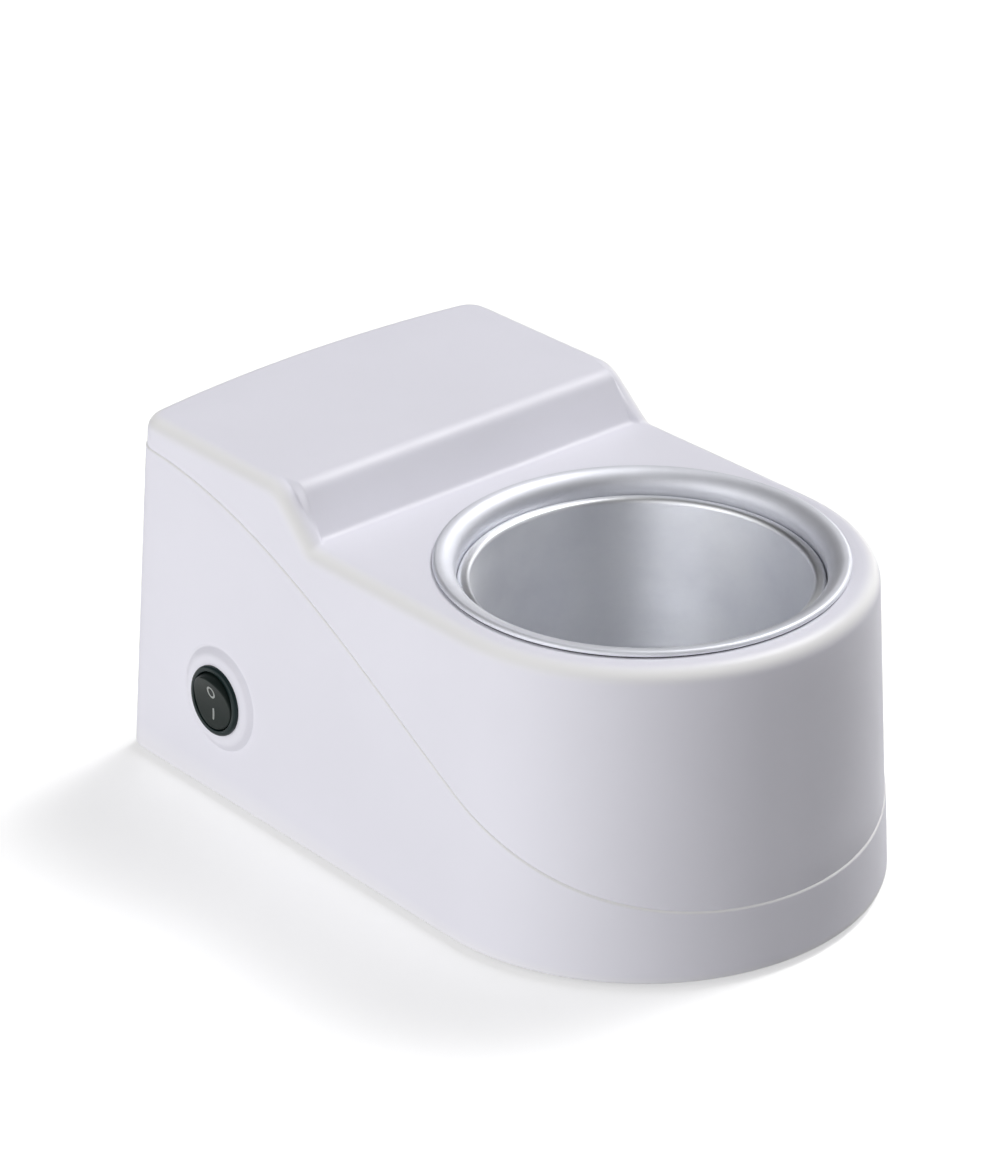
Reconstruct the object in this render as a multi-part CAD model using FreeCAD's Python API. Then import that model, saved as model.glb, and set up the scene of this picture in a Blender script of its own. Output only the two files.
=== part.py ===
import FreeCAD
import Part
import math
import os

# A wax warmer: a round drum that holds a lift-out aluminium pot, and a taller console behind it.
# Sizes are in millimetres and degrees. Shapes are drawn from the drum's axis (x = y = 0) and the
# skirt's lower edge (z = 0), with the front at -Y. They move to the standing frame when written.

V = FreeCAD.Vector

# Pot and well: spun aluminium, both open at the top
POT_RADIUS = 48.3
POT_DEPTH = 63.1
POT_SHEET = 1.0
POT_CORNER = 5.0
POT_LIP_WIDTH = 3.5
POT_LIP_HEIGHT = 2.6
POT_LIP_BELOW_DECK = 4.5
POT_LIP_ROUND_SHARE = 0.42
POT_LIP_BEND = 0.3
POT_SIDE_GAP = 0.5
POT_SEAT_GAP = 0.3
WELL_SHEET = 1.2
WELL_BEND_SHARE = 0.45
RIM_WIDTH = 6.7
RIM_RISE = 1.8
RIM_OUTER_ROUND = 1.35
RIM_INNER_ROUND = 5.0
GASKET_SHEET = 0.4
GASKET_SETBACK = 0.3
DECK_HOLE_GAP = 3.1

# Housing
DECK_LEDGE = 8.2
UNDER_WELL_ROOM = 20.4
CONSOLE_REACH = 160.0
CONSOLE_RISE = 14.5
RISER_CLEARANCE = 10.3
RISER_ANGLE = 59.0
RISER_FOOT_ROUND = 2.6
RISER_TOP_ROUND = 6.0
EDGE_ROUND = 5.0
SIDE_DRAFT = 2.9
SIDE_TAPER = 0.45
REAR_DRAFT = 3.5
REAR_BOW_RADIUS = 380.0
REAR_CORNER = 9.0
UPPER_WALL = 2.8
LOWER_WALL = 2.5

# Seam between the shells: an S curve in side view, with the lower shell a little proud
SEAM_FRONT_HEIGHT = 20.0
SEAM_FRONT_SPARE = 2.0
SEAM_FRONT_REACH = 74.0
SEAM_FRONT_RISE = 6.5
SEAM_REAR_DROP = 9.2
SEAM_REAR_REACH = 89.0
SEAM_END_FROM_REAR = 10.0
SEAM_STEP = 0.35
SEAM_GAP = 0.2
SEAM_ROUND = 0.8
LIP_DEPTH = 4.0
LIP_ROOT = 3.0
LIP_SHEET = 1.3
LIP_GAP = 0.15

# Base plate, feet and screws
FOOT_GAP = 2.0
PLATE_RECESS = 1.5
PLATE_SHEET = 3.0
PLATE_GAP = 0.25
FOOT_RADIUS = 8.0
FOOT_TAPER = 1.0
FOOT_STEM_RADIUS = 2.5
FOOT_STEM_GAP = 0.1
FOOT_FROM_EDGE = 18.2
FOOT_FRONT_ANGLE = 42.0
FOOT_REAR_FROM_SIDE = 34.0
FOOT_REAR_FROM_REAR = 28.0
PILLAR_RADIUS = 4.5
PILLAR_FROM_SIDE = 16.0
PILLAR_FRONT_Y = 48.0
PILLAR_FROM_REAR = 22.0
SKIRT_BOSS_X = 26.0
SKIRT_BOSS_RADIUS = 6.0
SKIRT_BOSS_HEIGHT = 11.0
SKIRT_SCREW_MARGIN = 1.6
SCREW_RADIUS = 1.7
SCREW_HEAD_RADIUS = 3.4
SCREW_LENGTH = 13.0
SCREW_GAP = 0.15
PILOT_SPARE = 2.0
VENT_WIDTH = 4.0
VENT_LENGTH = 26.0
VENT_PITCH = 11.0
VENT_COUNT = 7
VENT_ROW_Y = 92.0
DRUM_VENT_RADIUS = 36.0
DRUM_VENT_LENGTH = 16.0
DRUM_VENT_COUNT = 8

# Clamp that draws the well's flange down on the deck
YOKE_SHEET = 1.2
YOKE_WIDTH = 14.0
YOKE_BEND = 3.0
YOKE_DROP = 12.0
YOKE_JACKET_GAP = 3.0
STUD_RADIUS = 2.5
STUD_SPARE = 0.8
STUD_HOLE_GAP = 0.2
THREAD_GAP = 0.05
CLAMP_NUT_FLATS = 8.0
CLAMP_NUT_HEIGHT = 4.0
TAG_SHEET = 0.8
TAG_RADIUS = 5.0
TAG_WIDTH = 4.0
TAG_REACH = 14.0

# Heater and insulation
BAND_SHEET = 1.2
BAND_GAP = 0.1
BAND_ABOVE_FLOOR = 6.0
BAND_BELOW_LEDGE = 9.5
BAND_SPLIT = 6.0
EAR_REACH = 11.0
EAR_HEIGHT = 30.0
BAND_SCREW_RADIUS = 2.0
BAND_SCREW_HEAD = 3.6
BAND_NUT_FLATS = 7.0
BAND_NUT_HEIGHT = 3.2
JACKET_SHEET = 4.8
JACKET_GAP = 0.2
JACKET_OPENING = 40.0
BLADE_WIDTH = 6.3
BLADE_SHEET = 0.8
HEATER_BLADE_X = 14.0
HEATER_BLADE_DROP = 28.0
HEATER_BLADE_REACH = 9.0

# Thermostat and thermal fuse under the well
STAT_PLACE = (-22.0, 20.0)
STAT_RADIUS = 8.0
STAT_HEIGHT = 10.5
STAT_FLANGE = 1.0
STAT_FLANGE_WIDTH = 10.0
STAT_HOLE_SPACING = 24.0
STAT_BLADE_RAISE = 2.5
STAT_BLADE_REACH = 13.0
STAT_BLADE_ROOT = 5.0
SMALL_STUD_RADIUS = 1.5
SMALL_STUD_LENGTH = 5.0
SMALL_NUT_FLATS = 5.5
SMALL_NUT_HEIGHT = 2.4
FUSE_PLACE = (12.0, 22.0)
FUSE_RADIUS = 2.0
FUSE_LENGTH = 11.0
FUSE_LEAD_RADIUS = 0.5
FUSE_LEAD = 6.0
FUSE_GAP = 0.1
CLIP_SHEET = 0.6
CLIP_WIDTH = 5.0
CLIP_STUD_OFFSET = 7.5
CLIP_REACH = 11.0

# Rocker switch in the left cheek
SWITCH_FROM_REAR = 53.1
SWITCH_HEIGHT = 32.2
PAD_MARGIN = 4.5
PAD_RISE = 1.7
PAD_ROUND = 1.5
BARREL_RADIUS = 10.0
BARREL_WALL = 0.9
BARREL_DEPTH = 20.0
BARREL_BACK = 2.0
BARREL_CORNER = 1.0
BARREL_GAP = 0.1
BEZEL_WIDTH = 0.85
BEZEL_RISE = 1.3
BEZEL_ROUND = 0.9
BEZEL_INNER_ROUND = 0.3
LATCH_REACH = 1.1
LATCH_LENGTH = 5.0
LATCH_WIDTH = 5.0
LATCH_GAP = 0.1
ROCKER_GAP = 0.3
ROCKER_TILT = 8.0
ROCKER_PIVOT_DROP = 0.3
ROCKER_FACE_RISE = 1.7
ROCKER_FACE_HOLLOW = 30.0
ROCKER_SKIRT = 4.0
TRUNNION_RADIUS = 1.2
TRUNNION_BITE = 0.6
TRUNNION_GAP = 0.05
TRUNNION_END_GAP = 0.2
SWITCH_BLADE_OFFSET = 4.0
SWITCH_BLADE_REACH = 9.0

# Mains inlet in the rear wall
INLET_HEIGHT = 30.0
INLET_SETBACK = 2.8
INLET_FLANGE = (50.0, 25.0)
INLET_FLANGE_SHEET = 2.5
INLET_FLANGE_ROUND = 4.0
INLET_RECESS_GAP = 0.5
INLET_BODY_DEPTH = 24.0
INLET_BODY_GAP = 0.2
INLET_BODY_CHAMFER = 5.0
SOCKET = (24.2, 16.6)
SOCKET_WALL = 1.4
SOCKET_CHAMFER = 4.6
SOCKET_DEPTH = 16.5
PIN_SPACING = 7.0
PIN_STAGGER = 2.0
PIN_SECTION = (2.0, 4.0)
PIN_BELOW_FACE = 1.5
TAB_SECTION = (0.8, 4.8)
TAB_REACH = 9.0
INLET_SCREW_SPACING = 40.0
INLET_SCREW_RADIUS = 1.5
INLET_SCREW_HEAD = 2.9
INLET_SCREW_LENGTH = 11.0
INLET_PAD_MARGIN = 3.5

# Wiring
WIRE_RADIUS = 1.1
WIRE_BEND_SHARE = 0.45
WIRE_LEAD = 9.0
WIRE_SAG = 4.0
FUSE_WIRE_LEAD = 3.0
HEATER_WIRE_LOW = (8.0, 50.0, 4.0)
HEATER_WIRE_HIGH = (18.0, 66.0, 6.0)

# Reach of cutting shapes beyond the body, and the margin for comparing places
FAR = 400.0
TINY = 0.01


def rise(angle):
    """Slope of an angle given in degrees."""
    return math.tan(math.radians(angle))


# Sizes that follow from the ones above
PLATE_TOP = PLATE_RECESS + PLATE_SHEET
WELL_UNDER = PLATE_TOP + UNDER_WELL_ROOM
WELL_FLOOR = WELL_UNDER + WELL_SHEET
POT_FLOOR = WELL_FLOOR + POT_SEAT_GAP + POT_SHEET
POT_LIP_TOP = POT_FLOOR + POT_DEPTH
DECK = POT_LIP_TOP + POT_LIP_BELOW_DECK
CONSOLE = DECK + CONSOLE_RISE
WELL_LEDGE = POT_LIP_TOP - POT_LIP_HEIGHT - POT_SEAT_GAP
POT_OUTER = POT_RADIUS + POT_SHEET
WELL_RADIUS = POT_OUTER + POT_SIDE_GAP
WELL_OUTER = WELL_RADIUS + WELL_SHEET
POT_LIP_OUTER = POT_RADIUS + POT_LIP_WIDTH
WELL_MOUTH = POT_LIP_OUTER + POT_SIDE_GAP
WELL_BEND = WELL_BEND_SHARE * (WELL_MOUTH - WELL_OUTER)
RIM_OUTER = WELL_MOUTH + RIM_WIDTH
DECK_HOLE = WELL_MOUTH + WELL_SHEET + DECK_HOLE_GAP
BASE_RADIUS = RIM_OUTER + DECK_LEDGE + DECK * rise(SIDE_DRAFT)
BODY_LENGTH = BASE_RADIUS + CONSOLE_REACH
RISER_FOOT_Y = RIM_OUTER + RISER_CLEARANCE
RISER_TOP_Y = RISER_FOOT_Y + CONSOLE_RISE / rise(RISER_ANGLE)
SEAM_REAR_HEIGHT = CONSOLE - SEAM_REAR_DROP
BAND_INNER = WELL_OUTER + BAND_GAP
BAND_OUTER = BAND_INNER + BAND_SHEET
BAND_LOW = WELL_FLOOR + BAND_ABOVE_FLOOR
BAND_HIGH = WELL_LEDGE - BAND_BELOW_LEDGE
JACKET_INNER = BAND_OUTER + JACKET_GAP
JACKET_OUTER = JACKET_INNER + JACKET_SHEET
YOKE_LEG = JACKET_OUTER + YOKE_JACKET_GAP
YOKE_TOP = WELL_UNDER - YOKE_DROP
YOKE_UNDER = YOKE_TOP - YOKE_SHEET
TAG_UNDER = YOKE_UNDER - TAG_SHEET
CLAMP_NUT_UNDER = TAG_UNDER - CLAMP_NUT_HEIGHT
PILLAR_X = BASE_RADIUS - PILLAR_FROM_SIDE
SWITCH_Y = CONSOLE_REACH - SWITCH_FROM_REAR
BEZEL_RADIUS = BARREL_RADIUS + BEZEL_WIDTH
PAD_RADIUS = BEZEL_RADIUS + PAD_MARGIN
SWITCH_BACK = -BARREL_DEPTH - BARREL_BACK
TRUNNION_BORE = BARREL_RADIUS - BARREL_WALL + TRUNNION_BITE
INLET_BODY = (SOCKET[0] + 2 * SOCKET_WALL, SOCKET[1] + 2 * SOCKET_WALL)
INLET_FACE = CONSOLE_REACH - INLET_SETBACK
INLET_BACK = INLET_FACE - INLET_BODY_DEPTH
STANDING = V(0, BASE_RADIUS - BODY_LENGTH / 2, FOOT_GAP)


# Drawing helpers

def box(low, high):
    """Box between two opposite corners."""
    size = V(*high) - V(*low)
    return Part.makeBox(size.x, size.y, size.z, V(*low))


def rod(radius, start, end):
    """Round bar from one point to another."""
    line = V(*end) - V(*start)
    return Part.makeCylinder(radius, line.Length, V(*start), line)


def tube(outer, inner, low, high):
    """Upright ring on the drum's axis."""
    return rod(outer, (0, 0, low), (0, 0, high)).cut(rod(inner, (0, 0, low), (0, 0, high)))


def rounded_edges(points, radii):
    """Edges of an open path whose inner corners are rounded by tangent arcs."""
    edges = []
    last = points[0]
    for before, corner, after, radius in zip(points, points[1:], points[2:], radii):
        back = (before - corner).normalize()
        ahead = (after - corner).normalize()
        half = back.getAngle(ahead) / 2
        trim = radius / math.tan(half)
        middle = (back + ahead).normalize()
        start = corner + back * trim
        end = corner + ahead * trim
        top = corner + middle * (radius / math.sin(half) - radius)
        edges.append(Part.LineSegment(last, start).toShape())
        edges.append(Part.Arc(start, top, end).toShape())
        last = end
    edges.append(Part.LineSegment(last, points[-1]).toShape())
    return edges


def rounded_face(corners):
    """Flat face from (point, radius) corners. The first corner and a zero radius stay sharp."""
    points = [point for point, _ in corners] + [corners[0][0]]
    edges = []
    run = [points[0]]
    radii = []
    for point, (_, radius) in zip(points[1:], corners[1:] + [(None, 0)]):
        run.append(point)
        if radius:
            radii.append(radius)
        else:
            edges += rounded_edges(run, radii)
            run = [point]
            radii = []
    return Part.Face(Part.Wire(edges))


def turned(section):
    """Solid of revolution from (radius, height, corner radius) rows."""
    face = rounded_face([(V(r, 0, z), corner) for r, z, corner in section])
    return face.revolve(V(0, 0, 0), V(0, 0, 1), 360)


def hex_nut(flats, height, hole, start, direction):
    """Hexagonal nut that stands on the start point."""
    corner = flats / math.sqrt(3)
    ring = [V(corner * math.cos(k * math.pi / 3), corner * math.sin(k * math.pi / 3), 0) for k in range(7)]
    nut = Part.Face(Part.makePolygon(ring)).extrude(V(0, 0, height))
    nut = nut.cut(Part.makeCylinder(hole, height))
    nut.Placement = FreeCAD.Placement(V(*start), FreeCAD.Rotation(V(0, 0, 1), V(*direction)))
    return nut


def countersunk_screw(radius, head, length, start, direction):
    """Countersunk screw whose flat head lies at the start point."""
    line = V(*direction)
    depth = head - radius
    cone = Part.makeCone(head, radius, depth, V(*start), line)
    shank = Part.makeCylinder(radius, length - depth, V(*start) + line * depth, line)
    return cone.fuse(shank).removeSplitter()


def countersunk_hole(radius, head, length, start, direction):
    """Space for such a screw, with a gap all round."""
    return countersunk_screw(radius + SCREW_GAP, head + SCREW_GAP, length, start, direction)


def slot(length, width, centre, angle, low, high):
    """Upright solid with a round-ended plan, for cutting a slot."""
    along = V(math.cos(angle), math.sin(angle), 0) * ((length - width) / 2)
    middle = V(centre[0], centre[1], low)
    up = V(0, 0, high - low)
    side = V(-math.sin(angle), math.cos(angle), 0) * (width / 2)
    ring = [middle - along - side, middle + along - side, middle + along + side, middle - along + side]
    bar = Part.Face(Part.makePolygon(ring + ring[:1])).extrude(up)
    ends = [Part.makeCylinder(width / 2, up.z, middle + along * s) for s in (-1, 1)]
    return bar.fuse(ends).removeSplitter()


def wire_tube(points):
    """Round wire along a route, with each bend as wide as its shorter run allows."""
    radii = []
    for before, corner, after in zip(points, points[1:], points[2:]):
        back = before - corner
        ahead = after - corner
        half_turn = (math.pi - back.getAngle(ahead)) / 2
        radii.append(WIRE_BEND_SHARE * min(back.Length, ahead.Length) / math.tan(half_turn))
    path = Part.Wire(rounded_edges(points, radii))
    ring = Part.Wire(Part.Circle(points[0], points[1] - points[0], WIRE_RADIUS).toShape())
    return path.makePipeShell([ring], True, False)


# Housing outline

def half_width(z, inset):
    """Half width of the body at a height, which is also the drum's radius there."""
    return BASE_RADIUS - z * rise(SIDE_DRAFT) - inset


def rear_wall(z, inset):
    """Place of the rear wall's middle at a height."""
    return CONSOLE_REACH - z * rise(REAR_DRAFT) - inset


def outline(z, inset):
    """Plan of the body: a round front, sides that close in a little and a bowed rear wall."""
    w = half_width(z, inset)
    rear = rear_wall(z, inset)
    bow = REAR_BOW_RADIUS - inset
    corner = REAR_CORNER - inset
    taper = math.radians(SIDE_TAPER)
    outward = V(math.cos(taper), math.sin(taper), 0)
    rearward = V(-outward.y, outward.x, 0)
    bow_centre = V(0, rear - bow, 0)
    inner = outward * (w - corner)
    along = bow_centre.dot(rearward)
    across = inner - bow_centre
    run = along + math.sqrt(along ** 2 - across.dot(across) + (bow - corner) ** 2)
    corner_centre = inner + rearward * run
    to_bow = (corner_centre - bow_centre).normalize()
    lift = V(0, 0, z)
    side_front = outward * w + lift
    side_rear = corner_centre + outward * corner + lift
    middle = corner_centre + (outward + to_bow).normalize() * corner + lift
    meet = bow_centre + to_bow * bow + lift
    nose = V(0, -w, z)
    quarter = V(w * math.sqrt(0.5), -w * math.sqrt(0.5), z)

    def left(p):
        return V(-p.x, p.y, p.z)

    return Part.Wire([
        Part.Arc(side_front, quarter, nose).toShape(),
        Part.Arc(nose, left(quarter), left(side_front)).toShape(),
        Part.LineSegment(left(side_front), left(side_rear)).toShape(),
        Part.Arc(left(side_rear), left(middle), left(meet)).toShape(),
        Part.Arc(left(meet), V(0, rear, z), meet).toShape(),
        Part.Arc(meet, middle, side_rear).toShape(),
        Part.LineSegment(side_rear, side_front).toShape(),
    ])


def drafted_body(inset):
    """Body with drafted walls, taller than the console."""
    high = CONSOLE + UPPER_WALL
    return Part.makeLoft([outline(0, inset), outline(high, inset)], True, True)


def space_above_top(inset):
    """All that lies above the deck, riser and console top, lowered by the inset."""
    shift = inset * math.tan(math.radians(RISER_ANGLE) / 2)
    deck = DECK - inset
    top = CONSOLE - inset
    points = [V(-FAR, -FAR, deck), V(-FAR, RISER_FOOT_Y + shift, deck),
              V(-FAR, RISER_TOP_Y + shift, top), V(-FAR, FAR, top)]
    edges = rounded_edges(points, [RISER_FOOT_ROUND + inset, RISER_TOP_ROUND - inset])
    roof = [points[-1], V(-FAR, FAR, FAR), V(-FAR, -FAR, FAR), points[0]]
    edges += Part.makePolygon(roof).Edges
    return Part.Face(Part.Wire(edges)).extrude(V(2 * FAR, 0, 0))


def upper_edges(solid):
    """Edges round the top of a body that stands on z = 0, without the lines straight across it."""
    found = []
    for edge in solid.Edges:
        size = edge.BoundBox
        across = size.YLength < TINY and size.ZLength < TINY
        if size.ZMin > TINY and not across:
            found.append(edge)
    return found


def topped_body(inset, drop):
    """Drafted body cut to the deck, riser and console top, with its upper edge rounded."""
    solid = drafted_body(inset).cut(space_above_top(drop))
    return solid.makeFillet(EDGE_ROUND - drop, upper_edges(solid))


def seam_poles(lift):
    """Poles of the seam's curve in side view."""
    front = V(-FAR, -BASE_RADIUS - SEAM_FRONT_SPARE, SEAM_FRONT_HEIGHT + lift)
    rear = V(-FAR, CONSOLE_REACH - SEAM_END_FROM_REAR, SEAM_REAR_HEIGHT + lift)
    return [front, front + V(0, SEAM_FRONT_REACH, SEAM_FRONT_RISE), rear - V(0, SEAM_REAR_REACH, 0), rear]


def space_under_seam(lift):
    """All that lies below the seam's S curve, raised by the lift."""
    poles = seam_poles(lift)
    curve = Part.BezierCurve()
    curve.setPoles(poles)
    before = V(-FAR, -FAR, poles[0].z)
    after = V(-FAR, FAR, poles[-1].z)
    closing = [after, V(-FAR, FAR, -FAR), V(-FAR, -FAR, -FAR), before]
    edges = [Part.LineSegment(before, poles[0]).toShape(), curve.toShape()]
    edges.append(Part.LineSegment(poles[-1], after).toShape())
    edges += Part.makePolygon(closing).Edges
    return Part.Face(Part.Wire(edges)).extrude(V(2 * FAR, 0, 0))


# Places of the fasteners and feet, seen from above

def pillar_places():
    rear = CONSOLE_REACH - PILLAR_FROM_REAR
    return [(side * PILLAR_X, y) for side in (-1, 1) for y in (PILLAR_FRONT_Y, rear)]


def skirt_boss_places():
    plate_edge = half_width(PLATE_TOP, LOWER_WALL + PLATE_GAP)
    reach = plate_edge - SCREW_HEAD_RADIUS - SKIRT_SCREW_MARGIN
    y = -math.sqrt(reach ** 2 - SKIRT_BOSS_X ** 2)
    return [(side * SKIRT_BOSS_X, y) for side in (-1, 1)]


def foot_places():
    reach = BASE_RADIUS - FOOT_FROM_EDGE
    angle = math.radians(FOOT_FRONT_ANGLE)
    front = (reach * math.cos(angle), -reach * math.sin(angle))
    rear = (BASE_RADIUS - FOOT_REAR_FROM_SIDE, CONSOLE_REACH - FOOT_REAR_FROM_REAR)
    spots = (front, rear)
    return [(side * x, y) for side in (-1, 1) for x, y in spots]


def pilot_hole(place):
    """Hole for a base screw's thread."""
    top = PLATE_RECESS + SCREW_LENGTH + PILOT_SPARE
    return rod(SCREW_RADIUS, (*place, PLATE_TOP), (*place, top))


# Housings

def upper_housing():
    outer = topped_body(SEAM_STEP, 0)
    shell = outer.cut(topped_body(SEAM_STEP + UPPER_WALL, UPPER_WALL))
    shell = shell.cut(space_under_seam(SEAM_GAP))
    lip = drafted_body(LOWER_WALL + LIP_GAP).cut(drafted_body(LOWER_WALL + LIP_GAP + LIP_SHEET))
    lip = lip.common(space_under_seam(LIP_ROOT)).cut(space_under_seam(-LIP_DEPTH))
    pillars = [rod(PILLAR_RADIUS, (*p, PLATE_TOP), (*p, CONSOLE)).common(outer) for p in pillar_places()]
    shell = shell.fuse([lip] + pillars)
    holes = [pilot_hole(p) for p in pillar_places()]
    holes.append(rod(DECK_HOLE, (0, 0, WELL_LEDGE - UPPER_WALL), (0, 0, CONSOLE)))
    return shell.cut(holes)


def switch_frame(shape):
    """Moves a shape from the switch's own axes (right, up, outward) to the left cheek."""
    draft = math.radians(SIDE_DRAFT)
    c, s = math.cos(draft), math.sin(draft)
    taper = math.radians(SIDE_TAPER)
    x = (SWITCH_Y * math.sin(taper) - half_width(SWITCH_HEIGHT, 0)) / math.cos(taper)
    place = FreeCAD.Matrix(0, s, -c, x, -1, 0, 0, SWITCH_Y, 0, c, s, SWITCH_HEIGHT, 0, 0, 0, 1)
    moved = shape.copy()
    moved.Placement = FreeCAD.Placement(place).multiply(moved.Placement)
    return moved


def switch_pad():
    pad = Part.makeCylinder(PAD_RADIUS, PAD_RISE + LOWER_WALL, V(0, 0, -LOWER_WALL))
    rim = [e for e in pad.Edges if e.BoundBox.ZMin > PAD_RISE - TINY]
    return switch_frame(pad.makeFillet(PAD_ROUND, rim))


def inlet_opening():
    """Recess for the inlet's flange and the cut-out behind it."""
    width, height = (size / 2 + INLET_RECESS_GAP for size in INLET_FLANGE)
    recess = box((-width, INLET_FACE, INLET_HEIGHT - height), (width, FAR, INLET_HEIGHT + height))
    width, height = (size / 2 + INLET_BODY_GAP for size in INLET_BODY)
    hole = box((-width, INLET_BACK, INLET_HEIGHT - height), (width, FAR, INLET_HEIGHT + height))
    return recess.fuse(hole)


def inlet_pad(outer):
    """Flat thickening of the rear wall behind the inlet's flange."""
    width, height = (size / 2 + INLET_PAD_MARGIN for size in INLET_FLANGE)
    block = box((-width, INLET_FACE - LOWER_WALL, INLET_HEIGHT - height), (width, FAR, INLET_HEIGHT + height))
    return block.common(outer)


def lower_housing():
    outer = drafted_body(0)
    block = outer.common(space_under_seam(0))
    block = block.makeFillet(SEAM_ROUND, upper_edges(block))
    shell = block.cut(drafted_body(LOWER_WALL))
    top = PLATE_TOP + SKIRT_BOSS_HEIGHT
    bosses = [rod(SKIRT_BOSS_RADIUS, (*p, PLATE_TOP), (*p, top)).common(outer) for p in skirt_boss_places()]
    shell = shell.fuse(bosses + [switch_pad(), inlet_pad(outer)])
    holes = [pilot_hole(p) for p in skirt_boss_places()]
    barrel = Part.makeCylinder(BARREL_RADIUS + BARREL_GAP, 2 * BARREL_DEPTH, V(0, 0, -BARREL_DEPTH))
    holes += [switch_frame(barrel), inlet_opening()]
    holes += inlet_screw_holes()
    return shell.cut(holes)


# Base plate, feet and screws

def base_plate():
    plan = outline(PLATE_TOP, LOWER_WALL + PLATE_GAP)
    plan.translate(V(0, 0, PLATE_RECESS - PLATE_TOP))
    plate = Part.Face(plan).extrude(V(0, 0, PLATE_SHEET))
    up = (0, 0, 1)
    holes = [countersunk_hole(SCREW_RADIUS, SCREW_HEAD_RADIUS, SCREW_LENGTH, (*p, PLATE_RECESS), up)
             for p in pillar_places() + skirt_boss_places()]
    stem = FOOT_STEM_RADIUS + FOOT_STEM_GAP
    holes += [rod(stem, (*p, 0), (*p, DECK)) for p in foot_places()]
    span = (0, DECK)
    first = -VENT_PITCH * (VENT_COUNT - 1) / 2
    for k in range(VENT_COUNT):
        holes.append(slot(VENT_LENGTH, VENT_WIDTH, (first + k * VENT_PITCH, VENT_ROW_Y), math.pi / 2, *span))
    for k in range(DRUM_VENT_COUNT):
        angle = 2 * math.pi * (k + 0.5) / DRUM_VENT_COUNT
        centre = (DRUM_VENT_RADIUS * math.cos(angle), DRUM_VENT_RADIUS * math.sin(angle))
        holes.append(slot(DRUM_VENT_LENGTH, VENT_WIDTH, centre, angle, *span))
    return plate.cut(holes)


def rubber_foot(place):
    height = FOOT_GAP + PLATE_RECESS
    tread = Part.makeCone(FOOT_RADIUS - FOOT_TAPER, FOOT_RADIUS, height, V(*place, -FOOT_GAP))
    stem = rod(FOOT_STEM_RADIUS, (*place, PLATE_RECESS), (*place, PLATE_TOP))
    return tread.fuse(stem).removeSplitter()


def rubber_feet():
    return Part.makeCompound([rubber_foot(p) for p in foot_places()])


def base_screws():
    places = pillar_places() + skirt_boss_places()
    screws = [countersunk_screw(SCREW_RADIUS, SCREW_HEAD_RADIUS, SCREW_LENGTH, (*p, PLATE_RECESS), (0, 0, 1))
              for p in places]
    return Part.makeCompound(screws)


# Pot, well and clamp

def wax_pot():
    lip_low = WELL_LEDGE + POT_SEAT_GAP
    under_lip = POT_LIP_TOP - POT_SHEET
    lip_round = POT_LIP_ROUND_SHARE * POT_LIP_WIDTH
    return turned([
        (0, POT_FLOOR, 0),
        (POT_RADIUS, POT_FLOOR, POT_CORNER),
        (POT_RADIUS, POT_LIP_TOP, lip_round),
        (POT_LIP_OUTER, POT_LIP_TOP, lip_round),
        (POT_LIP_OUTER, lip_low, 0),
        (POT_LIP_OUTER - POT_SHEET, lip_low, 0),
        (POT_LIP_OUTER - POT_SHEET, under_lip, POT_LIP_BEND),
        (POT_OUTER, under_lip, POT_LIP_BEND),
        (POT_OUTER, POT_FLOOR - POT_SHEET, POT_CORNER + POT_SHEET),
        (0, POT_FLOOR - POT_SHEET, 0),
    ])


def small_stud_places():
    x, y = STAT_PLACE
    half = STAT_HOLE_SPACING / 2
    return [(x, y - half), (x, y + half), (FUSE_PLACE[0], FUSE_PLACE[1] + CLIP_STUD_OFFSET)]


def heating_well():
    crest = DECK + RIM_RISE
    foot = DECK + GASKET_SHEET
    t = WELL_SHEET
    cup = turned([
        (0, WELL_FLOOR, 0),
        (WELL_RADIUS, WELL_FLOOR, POT_CORNER + POT_SHEET),
        (WELL_RADIUS, WELL_LEDGE, WELL_BEND + t),
        (WELL_MOUTH, WELL_LEDGE, WELL_BEND),
        (WELL_MOUTH, crest, RIM_INNER_ROUND),
        (RIM_OUTER, crest, RIM_OUTER_ROUND),
        (RIM_OUTER, foot, 0),
        (RIM_OUTER - t, foot, 0),
        (RIM_OUTER - t, crest - t, RIM_OUTER_ROUND - t),
        (WELL_MOUTH + t, crest - t, RIM_INNER_ROUND - t),
        (WELL_MOUTH + t, WELL_LEDGE - t, WELL_BEND + t),
        (WELL_OUTER, WELL_LEDGE - t, WELL_BEND),
        (WELL_OUTER, WELL_UNDER, POT_CORNER + POT_SHEET + t),
        (0, WELL_UNDER, 0),
    ])
    studs = [rod(STUD_RADIUS, (0, 0, WELL_UNDER), (0, 0, CLAMP_NUT_UNDER - STUD_SPARE))]
    low = WELL_UNDER - SMALL_STUD_LENGTH
    studs += [rod(SMALL_STUD_RADIUS, (*p, WELL_UNDER), (*p, low)) for p in small_stud_places()]
    return cup.fuse(studs)


def rim_gasket():
    return tube(RIM_OUTER - GASKET_SETBACK, DECK_HOLE, DECK, DECK + GASKET_SHEET)


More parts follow.
